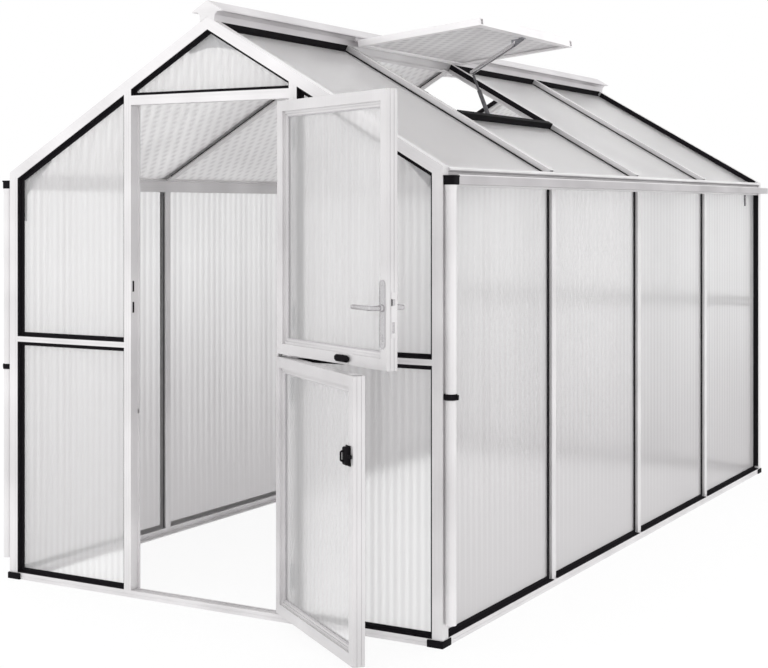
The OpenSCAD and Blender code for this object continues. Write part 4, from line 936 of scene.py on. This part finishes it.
# %% Outlets
PIPE_X, PIPE_Y = 1.048, -2.007
OUTLET_X0, OUTLET_X1, OUTLET_Y, OUTLET_LIP = 1.0253, 1.0685, -2.022, 0.0015
OUTLET_Z0, OUTLET_Z1, LIP_Z0, LIP_Z1 = 1.636, 1.669, 1.6635, 1.670
COLLAR_Z = 1.6155
COLLAR = [(0, 0.0215), (0.010, 0.0225), (0.020, 0.0225), (0.0205, 0.021)]
for side, word in HOUSE_SIDES:
    lo, hi = (OUTLET_X0, OUTLET_Y, OUTLET_Z0), (OUTLET_X1, GUTTER_Y0, OUTLET_Z1)
    outlet = sided_block("outlet_box", side, lo, hi, 0.003, 3)
    lo, hi = (OUTLET_X0, OUTLET_Y - OUTLET_LIP, LIP_Z0), (OUTLET_X1 + OUTLET_LIP, GUTTER_Y0, LIP_Z1)
    lip = sided_block("outlet_lip", side, lo, hi, 0.0015)
    collar = turned("pipe_collar_" + word, COLLAR, (side * PIPE_X, PIPE_Y, COLLAR_Z))
    fit(join("outlet_" + word, [outlet, lip]), "frame", nylon)
    fit(collar, "frame", alu_z)
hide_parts("gutter_outlets")
print("outlet height:", round(LIP_Z1 - OUTLET_Z0, 3))

# %% [markdown]
# ## Base shoes
# A black shoe wraps each corner of the house at the ground. Seen from above it is an L of
# two arms, a hair clear of the sills.

# %% Base shoes
SHOE_X, SHOE_Y, SHOE_ARM, SHOE_GAP, SHOE_H = 0.004, 0.008, 0.060, 0.0002, 0.026
ELL = [(-SHOE_ARM, -SHOE_Y), (SHOE_X, -SHOE_Y), (SHOE_X, SHOE_ARM),
       (SHOE_GAP, SHOE_ARM), (SHOE_GAP, -SHOE_GAP), (-SHOE_ARM, -SHOE_GAP)]
shoes = []
for sx in (1, -1):
    for sy in (1, -1):
        flat = [(sx * (HALF_W + x), sy * (HALF_D - y), 0.0) for x, y in ELL]
        shoes.append(pull_section("base_shoe", flat, (0, 0, SHOE_H), 0.0014))
print("base shoes:", len(shoes))
fit(join("base_shoes", shoes), "frame", nylon, ("base_corner_caps",))

# %% [markdown]
# ## Pipe clips
# One clip holds each downpipe to its post at half height: a ring round the pipe, a foot
# between the ring and the post, and a small nub at the outside with its screw.

# %% Pipe clips
CLIP_Z, CLIP_MID_Z = 0.876, 0.887
CLIP = [(0, 0.0206), (0.0005, 0.0232), (0.0215, 0.0232), (0.022, 0.0206)]
clips = []
for side in (1, -1):
    clips.append(turned("clip_ring", CLIP, (side * PIPE_X, PIPE_Y, CLIP_Z)))
    clips.append(sided_block("clip_foot", side, (1.0255, -2.021, 0.877), (1.034, -1.993, 0.897), 0.0015))
    nub_lo, nub_hi = (1.068, -2.0115, 0.8775), (1.0785, -2.0025, 0.8965)
    clips.append(sided_block("clip_nub", side, nub_lo, nub_hi, 0.0022, 3))
    clips.append(screw_head("clip_screw", (side * 1.0745, -2.0118, CLIP_MID_Z), 0.003, -0.0016, "Y"))
print("clip parts:", len(clips))
fit(join("pipe_clip_pair", clips), "frame", nylon, ("pipe_clips",))

# %% [markdown]
# ## Wall brackets with dome screws
# Near the rear, a small dark plate hangs below each eave beam, held by two dome screws.
# The domes catch the light, so they are turned with a smooth round top.

# %% Wall bracket screws
BRACKET_X, BRACKET_Y, BRACKET_SCREWS = 1.003, 1.789, (1.580, 1.616)
DOME = [(0, 0.0062), (0.0016, 0.006), (0.0034, 0.0048), (0.0046, 0.0028), (0.005, 0.0009)]
domes = []
for side in (1, -1):
    for z in BRACKET_SCREWS:
        domes.append(turned("dome", sided(side, DOME), (side * BRACKET_X, BRACKET_Y, z), "X", 24))
print("dome screws:", len(domes))
fit(join("wall_bracket_domes", domes), "frame", satin_steel)

# %% [markdown]
# ## Vent openers
# Each vent is lifted by a strut in two parts. The lower part is a gas cylinder with its
# rod, and the upper part is a pair of flat steel links, set wide enough apart to fold down
# on both sides of the cylinder when the vent shuts. Eyes at the ends turn on pins. The left
# vent is the right one turned half round, so its pieces are copies.

# %% Lower part of the openers
VENT_MID = -0.50625
PIVOT_A = Vector((0.480105, VENT_MID, 1.958440))
PIVOT_C = Vector((0.389976, VENT_MID, 2.180872))
HALF_TURN = Matrix.Rotation(math.pi, 4, "Z")
CYLINDER = [(0.018, 0.006), (0.019, 0.0098), (0.146, 0.0098), (0.150, 0.0085), (0.152, 0.006)]
ROD_START, ROD_SHORT, ROD_R = 0.148, 0.012, 0.0056
EYE = [(-0.0024, 0.0082), (-0.0019, 0.009), (0.0019, 0.009), (0.0024, 0.0082)]


def between(o, a, b):
    """Moves a piece made along Z from 0 so that it runs from a towards b."""
    aim = (b - a).to_track_quat("Z", "Y").to_matrix().to_4x4()
    return bake_place(o, Matrix.Translation(a) @ aim)


def copy_piece(o, name, matrix):
    """A copy with its own mesh, turned by a matrix that goes into the mesh."""
    c = o.copy()
    c.data = o.data.copy()
    c.name = name
    bpy.context.collection.objects.link(c)
    return bake_place(c, matrix)


reach = (PIVOT_C - PIVOT_A).length
barrel = turned("gas_cylinder", CYLINDER, (0, 0, 0), "Z", 24)
rod = turned("gas_rod", [(ROD_START, ROD_R), (reach - ROD_SHORT, ROD_R)], (0, 0, 0), "Z", 16)
strut = between(join("strut", [barrel, rod]), PIVOT_A, PIVOT_C)
eyes = [turned("eye", EYE, p, "Y", 24) for p in (PIVOT_A, PIVOT_C)]
shank = block("shank", (-0.004, -0.0022, 0.006), (0.004, 0.0022, 0.021), 0.0008)
lower_strut = join("right_gas_strut", [strut, between(shank, PIVOT_A, PIVOT_C)] + eyes)
left_strut = copy_piece(lower_strut, "left_gas_strut", HALF_TURN)
fit(lower_strut, "right_opener_lower", dark_zinc, ("right_opener_lower_arm",))
fit(left_strut, "left_opener_lower", dark_zinc, ("left_opener_lower_arm",))
print("from the foot to the knee:", round(reach, 4))

# %% [markdown]
# ### The links
# Two flat links run from the knee to the lid, one on each side of the cylinder. A pin with
# a head at both ends holds them together at the knee and at the lid.

# %% Upper part of the openers
PIVOT_B = Vector((0.600, VENT_MID, 2.297014))
LINK_IN, LINK_OUT, LINK_R = 0.0112, 0.0142, 0.0068
PIN_HEAD = [(-0.0170, 0.0042), (-0.0162, 0.0054), (-0.0144, 0.0054), (-0.0143, 0.0032)]
PIN = PIN_HEAD + [(-along, r) for along, r in reversed(PIN_HEAD)]
links = []
for y in (VENT_MID + LINK_IN, VENT_MID - LINK_OUT):
    outline = strip_outline(PIVOT_C, PIVOT_B, LINK_R, y, 8)
    links.append(pull_section("link", outline, (0, LINK_OUT - LINK_IN, 0), 0.0006))
for p in (PIVOT_C, PIVOT_B):
    links.append(turned("pin", PIN, p, "Y", 20))
print("links and pins of one opener:", len(links))
upper_link = join("right_opener_links", links)
left_link = copy_piece(upper_link, "left_opener_links", HALF_TURN)
fit(upper_link, "right_opener_upper", satin_steel, ("right_opener_upper_arm",))
fit(left_link, "left_opener_upper", satin_steel, ("left_opener_upper_arm",))

# %% [markdown]
# ## Floor
# The object stands on a white floor that runs into a white background, in an even, soft
# light. The floor glows for the camera, so that it stays white there, and keeps a part of
# its matt surface for the faint shadow at the object's foot.

# %% Floor
WHITE = linear("FFFFFF")
MATT_WHITE = (0.94, 0.94, 0.94, 1)


def seen_by_camera(owner):
    """1 for the rays that make up the picture, also by a reflection or through a sheet."""
    path = add_node(owner, "ShaderNodeLightPath")
    seen = maths(owner, "MAXIMUM", {0: (path, "Is Camera Ray"), 1: (path, "Is Glossy Ray")})
    return maths(owner, "MAXIMUM", {0: (seen, 0), 1: (path, "Is Transmission Ray")})


clear_selection()
bpy.ops.mesh.primitive_plane_add(size=60, location=(0, 0, -0.0005))
floor = bpy.context.object
floor.name = "studio_floor"
white = new_material("studio_white")
seen = seen_by_camera(white)
matt = add_node(white, "ShaderNodeBsdfDiffuse", values={"Color": MATT_WHITE})
glow = add_node(white, "ShaderNodeEmission", values={"Color": WHITE, "Strength": 1.0})
share = maths(white, "MULTIPLY", {0: (seen, 0)}, {1: 0.9})
blend = add_node(white, "ShaderNodeMixShader", links={0: (share, 0), 1: (matt, 0), 2: (glow, 0)})
add_node(white, "ShaderNodeOutputMaterial", links={"Surface": (blend, 0)})
floor.data.materials.append(white)
print("floor:", [round(c, 1) for c in floor.dimensions])

# %% [markdown]
# ## Light
# The world is white to the camera and a little stronger as a light. One large soft lamp at
# the front left gives the gable a touch more light than the side, so that the corner reads.

# %% World and lamp
LIGHT_STRENGTH, SEEN_STRENGTH = 1.36, 1.0
LAMP_AT, LAMP_AIM = Vector((-3.5, -8.5, 5.0)), Vector((0, -1.5, 1.0))
world = bpy.data.worlds.new("studio")
bpy.context.scene.world = world
world.use_nodes = True
world.node_tree.nodes.clear()
seen = seen_by_camera(world)
strength = map_range(world, seen, 0, 0.0, 1.0, LIGHT_STRENGTH, SEEN_STRENGTH)
sky = add_node(world, "ShaderNodeBackground", values={"Color": WHITE},
               links={"Strength": (strength, "Result")})
add_node(world, "ShaderNodeOutputWorld", links={"Surface": (sky, 0)})
bpy.ops.object.light_add(type="AREA", location=LAMP_AT)
lamp = bpy.context.object
lamp.name = "front_softbox"
lamp.data.size = 5.0
lamp.data.energy = 28
lamp.rotation_euler = (LAMP_AIM - LAMP_AT).to_track_quat("-Z", "Y").to_euler()
bpy.context.scene.view_settings.view_transform = "Standard"
print("lamp distance:", round((LAMP_AIM - LAMP_AT).length, 2))
